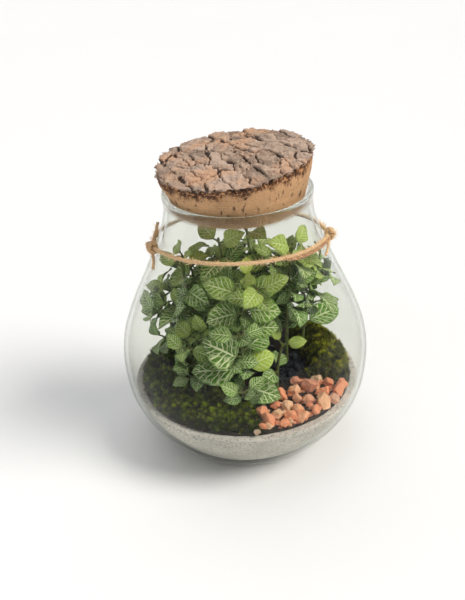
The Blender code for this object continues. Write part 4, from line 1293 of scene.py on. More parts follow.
def moss_swell(x, y, seed):
    """Height of the small pillows of a cushion, from 0 in the creases between them to 1."""
    bent_x, bent_y = (way + 2.0 * grain(x, y, 4.0, seed + step) for way, step in ((x, 3), (y, 4)))
    large = plates(bent_x, bent_y, 9.0, 7.5, 0.6, seed)[0]
    small = plates(bent_x, bent_y, 4.4, 4.0, 0.2, seed + 5)[0]
    return float(0.60 * rise(large, 0.1, 2.8) + 0.40 * rise(small, 0.0, 1.4))


def moss_sprig(height):
    """A tuft of pointed leaflets that spread like a star from one foot, each with four faces."""
    rng = random.Random(14)
    points, faces, reach = [], [], []
    for k in range(SPRIG_LEAFLETS):
        share = k / (SPRIG_LEAFLETS - 1)
        turn = 2.4 * k + rng.uniform(-0.3, 0.3)
        lean = 0.15 + 0.95 * share
        tall = rng.uniform(0.75, 1.0) * (1 - 0.45 * share)
        way = Vector((math.cos(turn), math.sin(turn), 0.0))
        side = Vector((-way.y, way.x, 0.0)) * LEAFLET_HALF
        middle = way * lean * 0.35 + Vector((0, 0, tall * 0.5))
        first = len(points)
        tip = way * lean * tall * 1.1 + Vector((0, 0, tall))
        points += [way * 0.02, middle + side, middle - side, tip]
        # Reach runs from 0 at the foot to 1 at the tip; the finish paints shade towards the foot by it.
        reach += [0.0, 0.55, 0.55, 1.0]
        for corners in ((0, 1, 3), (0, 3, 2), (0, 2, 1), (1, 2, 3)):
            faces.append(tuple(first + corner for corner in corners))
    points = [p * height / MM for p in points]
    return solid("sprig_shape", points, faces, values={"reach": reach}, smooth=False)


def make_moss(name, look):
    """A cushion and the sprigs that cover it."""
    cushion = MOSS[name]
    ground = SOIL_LEVEL + GAP
    bottom, top, swell = [], [], []
    for i in range(cushion.columns + 1):
        for j in range(cushion.rows + 1):
            along, across = i / cushion.columns, j / cushion.rows
            x, y = moss_spot(along, across, cushion)
            thick = moss_thickness(along, across, x, y, cushion)
            swell.append(moss_swell(x, y, cushion.seed))
            pillow = 3.4 * (swell[-1] - 0.55) * min(1.0, thick / 4)
            bottom.append((x, y, ground))
            top.append((x, y, ground + max(0.3, thick + pillow)))
    finish = moss_finish(name + "_sprigs", look, getattr(look, name))
    points, faces = slab(bottom, top, cushion.columns, cushion.rows)
    # The finish gives the cushion, which holds no reach, the moss's painted shade colour all over: a dark
    # body under the sprigs. Its pillow heights, kept as swell, also paint shade in the creases between the
    # pillows.
    piece = solid(name + "_cushion", points, faces, finish, {"swell": swell + swell})
    settle(piece, name, name)
    shape = moss_sprig(look.sprig)
    places = {"Lean": 0.5, "Along normal": 1.2, "Steepest": -0.2}
    seed, sizes = cushion.seed, (0.45, 1.15)
    sprigs = strew(name + "_sprigs", piece, shape, finish, cushion.density, sizes, seed, places)
    bpy.data.objects.remove(shape)
    return settle(sprigs, name)


# Stones


def chip_points(x, y, size, rng, ground):
    """Corners of one angular chip lying on the ground."""
    turn = rng.uniform(0, math.pi)
    long = size * rng.uniform(1.0, 1.2) / 2
    wide = size * rng.uniform(0.75, 0.95) / 2
    tall = size * rng.uniform(0.7, 0.95) / 2
    lean = rng.uniform(-0.35, 0.35)
    corners = []
    for k in range(CHIP_POINTS):
        up = 1 - 2 * (k + 0.5) / CHIP_POINTS
        around = k * 2.4 + rng.uniform(-0.5, 0.5)
        flat = math.sqrt(1 - up * up)
        px = long * flat * math.cos(around)
        py = wide * flat * math.sin(around)
        pz = tall * up + lean * px
        gx = x + px * math.cos(turn) - py * math.sin(turn)
        gy = y + px * math.sin(turn) + py * math.cos(turn)
        corners.append((gx, gy, max(ground + tall * 0.75 + pz, ground)))
    return corners


def chip_body(corners, worn, rough, seed):
    """The chip round its corners, with worn edges and a broken surface."""
    work = bmesh.new()
    for p in corners:
        work.verts.new(Vector(p))
    found = bmesh.ops.convex_hull(work, input=work.verts)
    loose = {v for v in found["geom_interior"] + found["geom_unused"] if isinstance(v, bmesh.types.BMVert)}
    bmesh.ops.delete(work, geom=list(loose), context="VERTS")
    bmesh.ops.dissolve_limit(work, angle_limit=0.06, verts=work.verts, edges=work.edges)
    wear = {"offset": worn, "segments": 2, "profile": 0.6, "affect": "EDGES", "clamp_overlap": True}
    bmesh.ops.bevel(work, geom=work.edges[:], **wear)
    bmesh.ops.triangulate(work, faces=work.faces)
    bmesh.ops.subdivide_edges(work, edges=[e for e in work.edges if e.calc_length() > 1.6], cuts=2)
    bmesh.ops.triangulate(work, faces=work.faces)
    bmesh.ops.recalc_face_normals(work, faces=work.faces)
    work.normal_update()
    for vertex in work.verts:
        at = vertex.co * 0.55 + Vector((seed * 7.3, 0, 0))
        vertex.co += vertex.normal * rough * (noise.noise(at) + 0.6 * noise.noise(at * 2.3))
    # The points and faces come in another order on each run, so they are sorted.
    points = sorted(tuple(v.co) for v in work.verts)
    number = {p: k for k, p in enumerate(points)}
    faces = [[number[tuple(v.co)] for v in f.verts] for f in work.faces]
    work.free()
    first = [face.index(min(face)) for face in faces]
    return points, sorted(tuple(face[k:] + face[:k]) for face, k in zip(faces, first))


def make_chips(name, chips, seed, rough, finish):
    """The large chips of one heap in one mesh, each with its own tone."""
    rng = random.Random(seed)
    tones = random.Random(seed + 50)
    points, faces, tone, hue = [], [], [], []
    for number, (x, y, size) in enumerate(chips):
        ground = SOIL_LEVEL + GAP + 0.2 + rng.uniform(0.0, 1.2)
        corners = chip_points(x, y, size, rng, ground)
        spots, sides = chip_body(corners, 0.45, rough, number)
        faces += [tuple(k + len(points) for k in side) for side in sides]
        points += spots
        tone += [tones.random()] * len(spots)
        hue += [tones.random()] * len(spots)
    return solid(name, points, faces, finish, {"tone": tone, "hue": hue}, smooth=False)


def bed_slab(first, last, inner, outer, high):
    """A thin bed of grit over a sector of the ground, with a lumpy top."""
    columns = max(8, round((last - first) * 0.8))
    rows = max(6, round((outer - inner) / 1.2))
    ground = SOIL_LEVEL + GAP
    bottom, top = [], []
    for i in range(columns + 1):
        turn = math.radians(first + (last - first) * i / columns)
        for j in range(rows + 1):
            radius = inner + (outer - inner) * j / rows
            x, y = radius * math.cos(turn), radius * math.sin(turn)
            bottom.append((x, y, ground))
            top.append((x, y, ground + high * (0.55 + 0.5 * float(grain(x, y, 2.6, 12)))))
    return slab(bottom, top, columns, rows)


def round_bed(x, y, radius, high):
    """A thin round bed of grit, with a lumpy top."""
    top = [(r, high) for r in np.linspace(radius, 1.5, 16)]
    points, faces = spin([(0.0, 0.0), (radius, 0.0), *top, (0.0, high)], 60)
    points[:, 2] *= 0.6 + 0.4 * grain(points[:, 0], points[:, 1], 2.6, 13)
    return points + np.array((x, y, SOIL_LEVEL + GAP)), faces


def edge_chips():
    """Small chips that hide the edge of the soil in front: x, y and size of each."""
    rng = random.Random(33)
    first, last = RED_BED[:2]
    chips = []
    for k in range(EDGE_CHIPS):
        turn = math.radians(first + (last - first) * (k + rng.uniform(0.1, 0.9)) / EDGE_CHIPS)
        radius = rng.uniform(73.0, 77.5)
        chips.append((radius * math.cos(turn), radius * math.sin(turn), rng.uniform(4.0, 7.0)))
    return chips


def make_gravel(look):
    """Both heaps: a bed, the grit strewn over it and the chips."""
    red, black = chip_finish(look), black_finish(look)
    shape = pebble("grit_shape", 8, 0.30)
    places = {"Lean": 3.0, "Along normal": 0.0, "Steepest": 0.3}
    bed = solid("red_grit_bed", *bed_slab(*RED_BED, 2.2), bpy.data.materials["dark_soil"])
    settle(bed, "red_gravel", "red_gravel")
    grit = strew("red_grit", bed, shape, red, 52000.0, (0.0018, 0.0052), 4, places)
    settle(grit, "red_gravel")
    settle(make_chips("red_chips", RED_CHIPS, 11, 0.55, red), "red_gravel")
    settle(make_chips("edge_chips", edge_chips(), 15, 0.3, red), "red_gravel")
    bed = solid("black_grit_bed", *round_bed(*BLACK_BED, 1.8), black)
    settle(bed, "black_gravel", "black_gravel")
    grit = strew("black_grit", bed, shape, black, 90000.0, (0.0015, 0.0042), 9, places)
    settle(grit, "black_gravel")
    bpy.data.objects.remove(shape)
    return settle(make_chips("black_chips", BLACK_CHIPS, 12, 0.3, black), "black_gravel")


def make_pale_stone():
    x, y, size = PALE_CHIP
    corners = chip_points(x, y, size, random.Random(4), SOIL_LEVEL + GAP)
    piece = solid("pale_chip", *chip_body(corners, 0.4, 0.4, 3), pale_finish(), smooth=False)
    return settle(piece, "pale_stone", "pale_stone")


# Plants


def light_at(spot):
    """The way a leaf's face turns: up, and outwards from the bush where the light comes from."""
    out = Vector((spot.x - BUSH_CENTRE[0], spot.y - BUSH_CENTRE[1], 0)) / BUSH_REACH
    if out.length > 1:
        out.normalize()
    return out * FACE_OUT + Vector((0, 0, 1))


def bearing_way(turn):
    """The level direction at this angle."""
    return Vector((math.cos(turn), math.sin(turn), 0))


def blade_width(u):
    """Outline of the ovate blade: its half width as a share of the greatest."""
    return max(math.sin(math.pi * u**BLADE_POINT) ** BLADE_FULLNESS if 0 < u < 1 else 0.0, BLADE_END)


class Leaf:
    """One blade: where it starts, the way its midrib and its face point, and its form."""

    def __init__(self, start, bearing, pitch, roll, length, width, droop, phase):
        climb, tilt = math.radians(pitch), math.radians(roll)
        flat = bearing_way(math.radians(bearing))
        self.along = flat * math.cos(climb) + Vector((0, 0, math.sin(climb)))
        light = light_at(Vector(start) + flat * length / 2)
        up = (light - self.along * light.dot(self.along)).normalized()
        self.face = up * math.cos(tilt) + up.cross(self.along) * math.sin(tilt)
        self.side = self.face.cross(self.along)
        self.start = Vector(start) + flat * STALK_LENGTH + Vector((0, 0, STALK_LENGTH * 0.35))
        self.foot = Vector(start)
        self.length, self.width = length, width
        self.droop, self.phase = math.radians(droop), phase

    def stalk_middle(self):
        return (self.foot + self.start) / 2 + Vector((0, 0, 0.6))

    def point(self, u, v, lift=0.0):
        """The point at a share of the length and a share of the half width, off the middle surface."""
        half = 0.5 * self.width * blade_width(u)
        bow = self.droop * u
        reach = self.length * math.sin(bow) / self.droop
        sink = self.length * (1 - math.cos(bow)) / self.droop
        fold = math.radians(LEAF_FOLD)
        wave = LEAF_WAVE * math.sin(WAVE_TURNS * u + self.phase + (WAVE_SHIFT if v < 0 else 0)) * v * v
        climb = abs(v) * half * math.sin(fold) + wave + lift
        across = v * half * math.cos(fold)
        flat = self.along * (reach + climb * math.sin(bow))
        return self.start + flat + self.face * (climb * math.cos(bow) - sink) + self.side * across

    def blade_rings(self, thick):
        """Rings of six points round the blade: edge, midrib, edge, below and then above."""
        rings = []
        for k in range(BLADE_STEPS + 1):
            u = k / BLADE_STEPS
            low = [self.point(u, v, -thick / 2) for v in (-1, 0, 1)]
            rings.append(low + [self.point(u, v, thick / 2) for v in (1, 0, -1)])
        return rings

    def stalk_ring(self, centre, share, extra):
        """Six points round the stalk at a spot, for a share of its radius."""
        radius = STALK_RADIUS * share + extra
        ring = []
        for degrees in (210, 270, 330, 30, 90, 150):
            turn = math.radians(degrees)
            ring.append(centre + radius * (self.side * math.cos(turn) + self.face * math.sin(turn)))
        return ring

    def blade_mesh(self, thick):
        """The blade alone, as a closed body."""
        return loft(self.blade_rings(thick))

    def whole_mesh(self, extra):
        """The blade with its stalk, which starts inside the stem, as one closed body."""
        stalk = [self.stalk_ring(self.foot, 1.1, extra), self.stalk_ring(self.stalk_middle(), 0.9, extra)]
        return loft(stalk + self.blade_rings(BLADE + 2 * extra))


def loft(rings):
    """A closed body through rings of six points."""
    points = [tuple(p) for ring in rings for p in ring]
    faces = []
    for k in range(len(rings) - 1):
        for s in range(6):
            a, b = 6 * k + s, 6 * k + (s + 1) % 6
            faces += [(a, b, b + 6), (a, b + 6, a + 6)]
    end = 6 * (len(rings) - 1)
    for first, order in ((0, 1), (end, -1)):
        for corners in ((0, 5, 4), (0, 4, 1), (1, 4, 3), (1, 3, 2)):
            faces.append(tuple(first + c for c in corners[::order]))
    return points, faces


def tube(path, radii, sides):
    """A closed tube through points, with a radius at each."""
    points, faces = [], []
    path = [Vector(p) for p in path]
    side = None
    for k, p in enumerate(path):
        way = (path[min(k + 1, len(path) - 1)] - path[max(k - 1, 0)]).normalized()
        if side is None:
            side = way.orthogonal().normalized()
        side = (side - way * side.dot(way)).normalized()
        other = way.cross(side)
        for s in range(sides):
            turn = 2 * math.pi * s / sides
            points.append(p + radii[k] * (side * math.cos(turn) + other * math.sin(turn)))
    for k in range(len(path) - 1):
        low, high = k * sides, (k + 1) * sides
        for s in range(sides):
            after = (s + 1) % sides
            faces.append((low + s, low + after, high + after, high + s))
    faces.append(tuple(range(sides - 1, -1, -1)))
    top = (len(path) - 1) * sides
    faces.append(tuple(top + s for s in range(sides)))
    return [tuple(p) for p in points], faces


def stem_point(foot, top, share):
    """A stem rises straight from the soil, then leans over to its top."""
    base = Vector((foot[0], foot[1], SOIL_LEVEL))
    tip = Vector(top)
    elbow = base + Vector((0, 0, 0.55 * (tip.z - base.z)))
    return base * (1 - share) ** 2 + elbow * 2 * share * (1 - share) + tip * share**2


def stem_line(foot, top, steps):
    """A stem from its root up, in this many steps above the soil: its points and its radius at each."""
    path = [Vector((foot[0], foot[1], SOIL_LEVEL - ROOT_DEPTH))]
    path += [stem_point(foot, top, k / steps) for k in range(steps + 1)]
    radii = [STEM_RADIUS] + [STEM_RADIUS * (1 - STEM_TAPER * k / steps) for k in range(steps + 1)]
    return path, radii


def tree_of(points, faces):
    return BVHTree.FromPolygons([Vector(p) for p in points], faces)


def in_glass(leaf):
    """Whether the blade keeps clear of the glass and the ground."""
    for u in (0.0, 0.25, 0.5, 0.75, 1.0):
        for v in (-1, 0, 1):
            p = leaf.point(u, v)
            limit = wall_radius(p.z, JAR_WALL) - GLASS_CLEARANCE
            if math.hypot(p.x, p.y) > limit or p.z < SOIL_LEVEL + GROUND_CLEARANCE:
                return False
    return True


class Thicket:
    """Places leaves one by one so that none touches another stem, its leaves, the ground or the glass."""

    def __init__(self, ground):
        self.taken = [("ground", tree) for tree in ground]
        self.blades = []
        self.rng = random.Random(21)

    def claim(self, owner, mesh):
        self.taken.append((owner, tree_of(*mesh)))

    def crossed(self, owner, body):
        """Whether a body meets what another stem or the ground has claimed."""
        return any(body.overlap(tree) for held, tree in self.taken if held != owner)

    def blocked(self, owner, leaf):
        """Whether the leaf meets another stem's shapes, or its blade another blade of its own stem."""
        if self.crossed(owner, tree_of(*leaf.whole_mesh(LEAF_CLEARANCE))):
            return True
        blade = tree_of(*leaf.blade_mesh(BLADE + LEAF_CLEARANCE))
        return any(blade.overlap(tree) for held, tree in self.blades if held == owner)

    def place(self, owner, start, wanted):
        """The first clear leaf near the wanted one, or None: each try strays and shrinks a little more."""
        bearing, pitch, roll, length, width, droop = wanted
        for attempt in range(TRIES):
            loose = min(attempt, TRIES // 2)
            size = 1 - 0.006 * attempt
            leaf = Leaf(
                start,
                bearing + self.rng.gauss(0, 1.0) * loose,
                pitch + self.rng.gauss(0, 0.8) * loose,
                roll + self.rng.gauss(0, 0.6) * loose,
                length * size,
                width * size,
                droop,
                self.rng.uniform(0, 6.28),
            )
            if in_glass(leaf) and not self.blocked(owner, leaf):
                self.claim(owner, leaf.whole_mesh(LEAF_CLEARANCE))
                self.blades.append((owner, tree_of(*leaf.blade_mesh(BLADE + LEAF_CLEARANCE))))
                return leaf
        return None


def paired_leaves(name, rng):
    """Leaves in crossed pairs up a stem: share of its height, bearing, pitch, roll, length, width, droop."""
    first, pairs, size = STEMS[name][2:]
    wanted = []
    for k in range(pairs):
        share = 0.32 + 0.64 * k / max(pairs - 1, 1)
        young = max(0.0, (share - 0.75) / 0.25)
        for half in (0, 180):
            bearing = first + 90 * k + half + rng.uniform(-14, 14)
            length = size * rng.uniform(0.88, 1.1) * (1 - 0.38 * young)
            width = length * rng.uniform(0.68, 0.78)
            pitch = rng.uniform(4, 24) + 20 * young
            roll = rng.uniform(-10, 10)
            wanted.append((share, bearing, pitch, roll, length, width, rng.uniform(30, 55)))
    return wanted


def front_leaves():
    """The leaves of the front stem, in the order of paired_leaves."""
    wanted = []
    for height, bearing, pitch, length, width in FRONT_LEAVES:
        share = (height - SOIL_LEVEL) / (FRONT_TOP[2] - SOIL_LEVEL)
        wanted.append((share, bearing, pitch, 0.0, length, width, 40.0))
    return wanted


def plan_plants(ground):
    """Every stem with its leaves and shoots, placed from the front stem backwards."""
    stems = {"fittonia_front": (FRONT_FOOT, FRONT_TOP)}
    for name in reversed(list(STEMS)):
        stems[name] = STEMS[name][:2]
    thicket = Thicket(ground)
    for name, (foot, top) in stems.items():
        path, radii = stem_line(foot, top, STEM_STEPS)
        thicket.claim(name, tube(path, [radius + LEAF_CLEARANCE for radius in radii], STEM_SIDES))
    leaves = {}
    for number, (name, (foot, top)) in enumerate(stems.items()):
        rng = random.Random(100 + number)
        wanted = front_leaves() if name == "fittonia_front" else paired_leaves(name, rng)
        leaves[name] = []
        for share, *rest in wanted:
            leaf = thicket.place(name, stem_point(foot, top, share), rest)
            if leaf:
                leaves[name].append((share, leaf))
    return [(name, *ends, leaves[name], side_shoots(thicket, name, *ends)) for name, ends in stems.items()]


def shoot_shares(name, foot, rng):
    """How far up a stem its side shoots leave it. The stem behind the red chips has none."""
    if name == "fittonia_low_right":
        return []
    lowest = 0.50 if foot[0] > 0 else 0.12
    shares = [lowest + (0.92 - lowest) * (k + rng.uniform(0.2, 0.8)) / SHOOTS for k in range(SHOOTS)]
    return [*LOW_SHOOTS, *shares] if name == "fittonia_front" else shares


def side_shoots(thicket, name, foot, top):
    """Short shoots in the gaps of a stem, each with a few small leaves at its end."""
    rng = random.Random(name + " shoots")
    shoots = []
    for share in shoot_shares(name, foot, rng):
        start = stem_point(foot, top, share)
        turns = (-2.6, -0.9) if share in LOW_SHOOTS else (0, 2 * math.pi)
        for attempt in range(SHOOT_TRIES):
            turn = rng.uniform(*turns)
            reach = rng.uniform(*SHOOT_REACH) * (1 - 0.04 * attempt)
            way = bearing_way(turn)
            middle = start + way * reach * 0.5 + Vector((0, 0, reach * 0.2))
            end = start + way * reach + Vector((0, 0, reach * 0.6))
            path = [start, middle, end]
            cane = tube(path, [SHOOT_RADIUS + LEAF_CLEARANCE] * 3, 5)
            outside = math.hypot(end.x, end.y) > wall_radius(end.z, JAR_WALL) - 4 or end.z > SHOOT_TOP
            if outside or thicket.crossed(name, tree_of(*cane)):
                continue
            leaves = shoot_leaves(thicket, name, end, turn, rng)
            if leaves:
                thicket.claim(name, cane)
                shoots.append((path, [(0.5 + 0.5 * share, leaf) for leaf in leaves]))
                break
    return shoots


def shoot_leaves(thicket, name, end, turn, rng):
    """Up to four small leaves round the end of a shoot."""
    leaves = []
    for side in range(4):
        length = rng.uniform(*SHOOT_LEAF)
        pitch, roll = rng.uniform(5, 45), rng.uniform(-10, 10)
        width = length * rng.uniform(0.68, 0.8)
        bearing = math.degrees(turn) + 90 * side + 20
        leaf = thicket.place(name, end, (bearing, pitch, roll, length, width, rng.uniform(30, 60)))
        if leaf:
            leaves.append(leaf)
    return leaves


def ground_trees():
    """The packed ground cover, in millimetres, as the plants keep clear of it."""
    trees = []
    for name in ("moss_left", "moss_right", "red_gravel", "black_gravel"):
        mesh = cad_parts[name].data
        trees.append(tree_of([v.co / MM for v in mesh.vertices], [tuple(p.vertices) for p in mesh.polygons]))
    return trees


def plant_sketch(name, foot, top, leaves, shoots):
    """A stem and its stalks as lines, and one loose point with numbers for each leaf."""
    lines, radii = [], []
    for path, more in shoots:
        lines.append(smooth_path(path, 4))
        radii += [SHOOT_RADIUS * (1.25 - 0.05 * k) for k in range(len(lines[-1]))]
        leaves = [*leaves, *more]
    for _, leaf in leaves:
        lines.append([leaf.foot, leaf.stalk_middle(), leaf.start, leaf.point(0.12, 0, -0.25)])
        radii += [share * STALK_RADIUS for share in (1.1, 0.9, 0.8, 0.35)]
    stem, girth = stem_line(foot, top, FINE_STEM_STEPS)
    points, edges = strung([stem, *lines])
    girths = [radius * MM for radius in girth + radii]
    shades = random.Random(name)
    looks = []
    for number, (share, leaf) in enumerate(leaves):
        usual = (0.75 * max(0.0, (share - 0.80) / 0.20), 0.6 * shades.random())
        young, white = LEAF_LOOKS.get((name, number), usual)
        looks.append({
            "leafy": 1.0, "length": leaf.length * MM, "width": leaf.width * MM, "droop": leaf.droop,
            "phase": leaf.phase, "young": young, "white": white, "tone": shades.random(), "girth": 0.0,
            "start": leaf.start * MM, "along": leaf.along, "face": leaf.face, "side_way": leaf.side,
        })
    values = {label: [np.zeros_like(look)] * len(points) for label, look in looks[0].items()}
    values["girth"] = girths
    for look in looks:
        for label, number in look.items():
            values[label].append(np.array(number))
    points += [tuple(leaf.start) for _, leaf in leaves]
    return linked(name + "_sketch", bare_mesh(name + "_sketch", points, edges, [], values))


def make_plants(look):
    """Every leafy stem as one piece."""
    tree = plant_tree()
    inputs = {
        "Rows": look.rows, "Columns": look.columns, "Blade": BLADE * MM, "Fold": math.radians(LEAF_FOLD),
        "Wave": LEAF_WAVE * MM, "Sides": 9,
        "Leaf finish": leaf_finish(look), "Stem finish": stem_finish(look),
    }
    for name, *parts in plan_plants(ground_trees()):
        base = plant_sketch(name, *parts)
        settle(grow(name.replace("fittonia", "plant"), base, tree, inputs), "fittonia", name)


# Cork stopper


def cork_outline(turn):
    """Share by which the natural edge of the cork differs from a circle."""
    coarse = 0.014 * np.sin(3 * turn + 0.6) + 0.010 * np.sin(5 * turn + 2.1)
    return 1 + coarse + 0.009 * np.sin(8 * turn + 0.4)


def bent(way, x, y, seeds):
    """One coordinate of the plan, bent and jagged by seeded fields, so that no crack runs straight."""
    wave, coarse, fine = seeds
    jag = 2.0 * (grain(x, y, 2.8, coarse) - 0.5) + 0.8 * (grain(x, y, 1.2, fine) - 0.5)
    return way + 1.6 * waves(x * 0.6, y * 0.6, wave) + jag


def bark_field(x, y, crack_depth):
    """Height of the bark, the share of crack, and the levels of its plates and of the flakes on them."""
    bent_x, bent_y = bent(x, x, y, (41, 19, 60)), bent(y, x, y, (42, 20, 61))
    edge, corner, plate = plates(bent_x, bent_y, *BARK_PLATE, BARK_TURN, 17)
    flake_edge, flake_corner, flake = plates(bent_x, bent_y, *BARK_FLAKE, BARK_TURN + 0.25, 31)
    wide = 0.75 + 1.45 * rise(grain(x, y, 12.0, 18), 0.30, 0.75)
    crack = (1 - rise(edge, 0.25 * wide, wide)) * rise(corner, 0.3, 1.3)
    crack = crack * rise(grain(x, y, 9.0, 53), 0.14, 0.30)
    split = (1 - rise(flake_edge, 0.10, 0.60)) * rise(flake_corner, 0.3, 1.2)
    split = split * rise(grain(x, y, 7.0, 54), 0.44, 0.60)
    crack = np.maximum(crack, 0.55 * split)
    layer = 0.45 * plate + 0.35 * flake + 0.2 * grain(x, y, 3.0, 55)
    height = 1.5 * (plate - 0.5) + 0.7 * (flake - 0.5) + 0.4 * (grain(x, y, 4.0, 24) - 0.5)
    height = height + 0.40 * (grain(x, y, 1.3, 25) - 0.5)
    return height - crack_depth * crack, crack, plate, layer


def cork_points(look):
    """Rings of points from the foot of the cork up its side, over the torn edge and in over the bark.

    Each has its place, its share of crack (on the side also of hollow, where the finish paints shade), its
    plate, its layer and its depth below the bark.
    """
    turn = 2 * math.pi * np.arange(look.sides) / look.sides
    cos, sin = np.cos(turn), np.sin(turn)
    round_cork = turn * 52
    cx, cy = CORK_CENTRE
    outline = cork_outline(turn)
    edge_x = CORK_TOP_RADIUS * outline * cos + cx
    edge_y = CORK_TOP_RADIUS * outline * sin + cy
    relief, crack, plate, layer = bark_field(edge_x, edge_y, look.crack / MM)
    top = CORK_TOP + CORK_SLANT * edge_x + 0.7 * relief
    ragged = 1.2 * (plate - 0.5) + 1.2 * (layer - 0.5) - 1.5 * crack
    heights, radii = zip(*CORK_RINGS, (CORK_TOP, CORK_TOP_RADIUS))
    torn = 2.4 + 5.2 * grain(round_cork, 0 * turn, 6.0, 30) ** 1.5
    rows = []
    for share in 1 - np.linspace(1, 0, CORK_SIDE_ROWS) ** 1.6:
        z = CORK_BOTTOM + (top - CORK_BOTTOM) * share
        depth = top - z
        nominal = CORK_BOTTOM + (CORK_TOP - CORK_BOTTOM) * share
        near = np.exp(-((depth / torn) ** 2))
        crumble = (grain(round_cork, z, 2.2, 27) - 0.5) * 3.2 + (grain(round_cork, z, 1.0, 28) - 0.5) * 2.0
        radius = np.interp(nominal, heights, radii) * (1 + (outline - 1) * share)
        radius = radius + near * (ragged + crumble - 1.2 * rise(depth, 0.3, 1.6))
        radius = radius - 0.25 * grain(round_cork, z, 4.0, 29)
        shift = max(0.0, (nominal - CORK_LEAN_FROM) / (CORK_TOP - CORK_LEAN_FROM))
        # Hollows where the torn edge crumbles in join the cracks, for the finish to paint in shade.
        hollow = rise(-crumble, 0.1, 1.3) * near * rise(depth, 0.2, 1.0)
        crack_and_hollow_shade = np.maximum(crack * np.exp(-depth / 3.0), hollow)
        below = depth * 4.0 / (1.6 + torn)
        rows.append((radius * cos + cx * shift, radius * sin, z, crack_and_hollow_shade, plate, layer, below))
    for share in np.linspace(1, 0, look.rings + 1)[1:-1] ** 0.92:
        radius = (CORK_TOP_RADIUS * outline + ragged * share**8) * share
        x, y = radius * cos + cx, radius * sin + cy
        relief, crack, plate, layer = bark_field(x, y, look.crack / MM)
        z = CORK_TOP + CORK_SLANT * x + CORK_DOME * (1 - share**2) + relief * (1 - 0.3 * share**6)
        rows.append((x, y, z, crack, plate, layer, 0 * turn))
    return np.array(rows)


def make_stopper(look):
    """The cork with its bark in one closed body."""
    rows = cork_points(look)
    table = np.moveaxis(rows, 1, 2).reshape(-1, rows.shape[1])
    foot = [0.0, 0.0, CORK_BOTTOM, 0.0, 0.5, 0.5, 30.0]
    summit = table[-look.sides :].mean(axis=0)
    table = np.vstack([foot, table, summit])
    # The crack share marks where the finish paints shade in the cracks and hollows.
    values = {label: table[:, 3 + k] for k, label in enumerate(("crack", "plate", "layer", "depth"))}
    faces = spun_faces(len(rows), look.sides)
    piece = solid("cork_stopper_bark", table[:, :3], faces, cork_finish(look), values)
    return settle(piece, "cork_stopper", "cork_stopper")


# Twine


def twine_height(bearing):
    return TWINE_HEIGHT - TWINE_TILT * math.sin(math.radians(bearing))


def twine_point(bearing, below=0.0, lift=0.0):
    """A point on the twine's middle line, outside the glass."""
    near = min(abs((bearing - knot + 180) % 360 - 180) for knot in KNOTS)
    out = lift + KNOT_LIFT * math.exp(-((near / KNOT_SPREAD) ** 2))
    radius, height = jar_offset(twine_height(bearing) - below, TWINE_RADIUS + GAP + out)
    turn = math.radians(bearing)
    return Vector((radius * math.cos(turn), radius * math.sin(turn), height))


def tail_path(bearing, turns, drops):
    """A loose end that leaves a knot and follows the glass."""
    return smooth_path([twine_point(bearing + turn, drop, TAIL_LIFT) for turn, drop in zip(turns, drops)], 5)


def knot_paths(bearing):
    """The turns of a pulled-tight knot: a coil round the strand and a loop laid across it."""
    centre = twine_point(bearing, lift=KNOT_RISE)
    way = (twine_point(bearing + 2) - twine_point(bearing - 2)).normalized()
    out = Vector((centre.x, centre.y, 0)).normalized()
    out = (out - way * out.dot(way)).normalized()
    up = way.cross(out)
    coil, cross = [], []
    for k in range(49):
        share = k / 48
        turn = 2 * math.pi * KNOT_TURNS * share
        spot = out * math.cos(turn) * (KNOT_OUT - 1.1) + up * math.sin(turn) * (KNOT_UP - 1.2)
        coil.append(centre + way * (share - 0.5) * (2 * KNOT_HALF - 3.6) + spot)
    for k in range(25):
        turn = math.pi * (k / 24 - 0.5) * 1.3
        spot = way * math.sin(turn) * (KNOT_HALF - 1.6) + up * math.sin(turn) * 2.4
        cross.append(centre + spot + out * (math.cos(turn) * 1.6 + KNOT_OUT - 2.0))
    return coil, cross


def twine_lines():
    """Every strand: its path, its radius as a share of the twine's, and how dark it is."""
    left, right = KNOTS
    ring = [twine_point(left + 360 * k / 240) for k in range(241)]
    first, last = SECOND_STRAND
    second = []
    for k in range(SECOND_STEPS + 1):
        below = SECOND_BELOW * min(1.0, k / 2)
        second.append(twine_point(first + (last - first) * k / SECOND_STEPS, below, 0.25))
    lines = [
        (ring, 1.0, 0.0),
        (smooth_path(second, 5), 0.85, 1.0),
        (tail_path(left, (0, 3, 6, 8), (0, 4, 8, 13)), 0.8, 0.0),
        (tail_path(left, (0, -5, -9, -12), (0, -5, -10, -15)), 0.8, 0.0),
        (tail_path(right, (0, -6, -12, -17), (0, 3, 7, 9)), 0.7, 0.0),
    ]
    return lines + [(path, 0.85, 0.0) for bearing in KNOTS for path in knot_paths(bearing)]


def hair_shape(length):
    """A thin fibre that curls over."""
    path = [(0.0, 0.0, -0.1), (0.05, 0.0, 0.35), (0.22, 0.05, 0.7), (0.5, 0.08, 0.9)]
    scale = length / MM
    points, faces = tube([tuple(scale * c for c in p) for p in path], [0.11, 0.10, 0.08, 0.03], 3)
    return solid("hair_shape", points, faces, smooth=False)


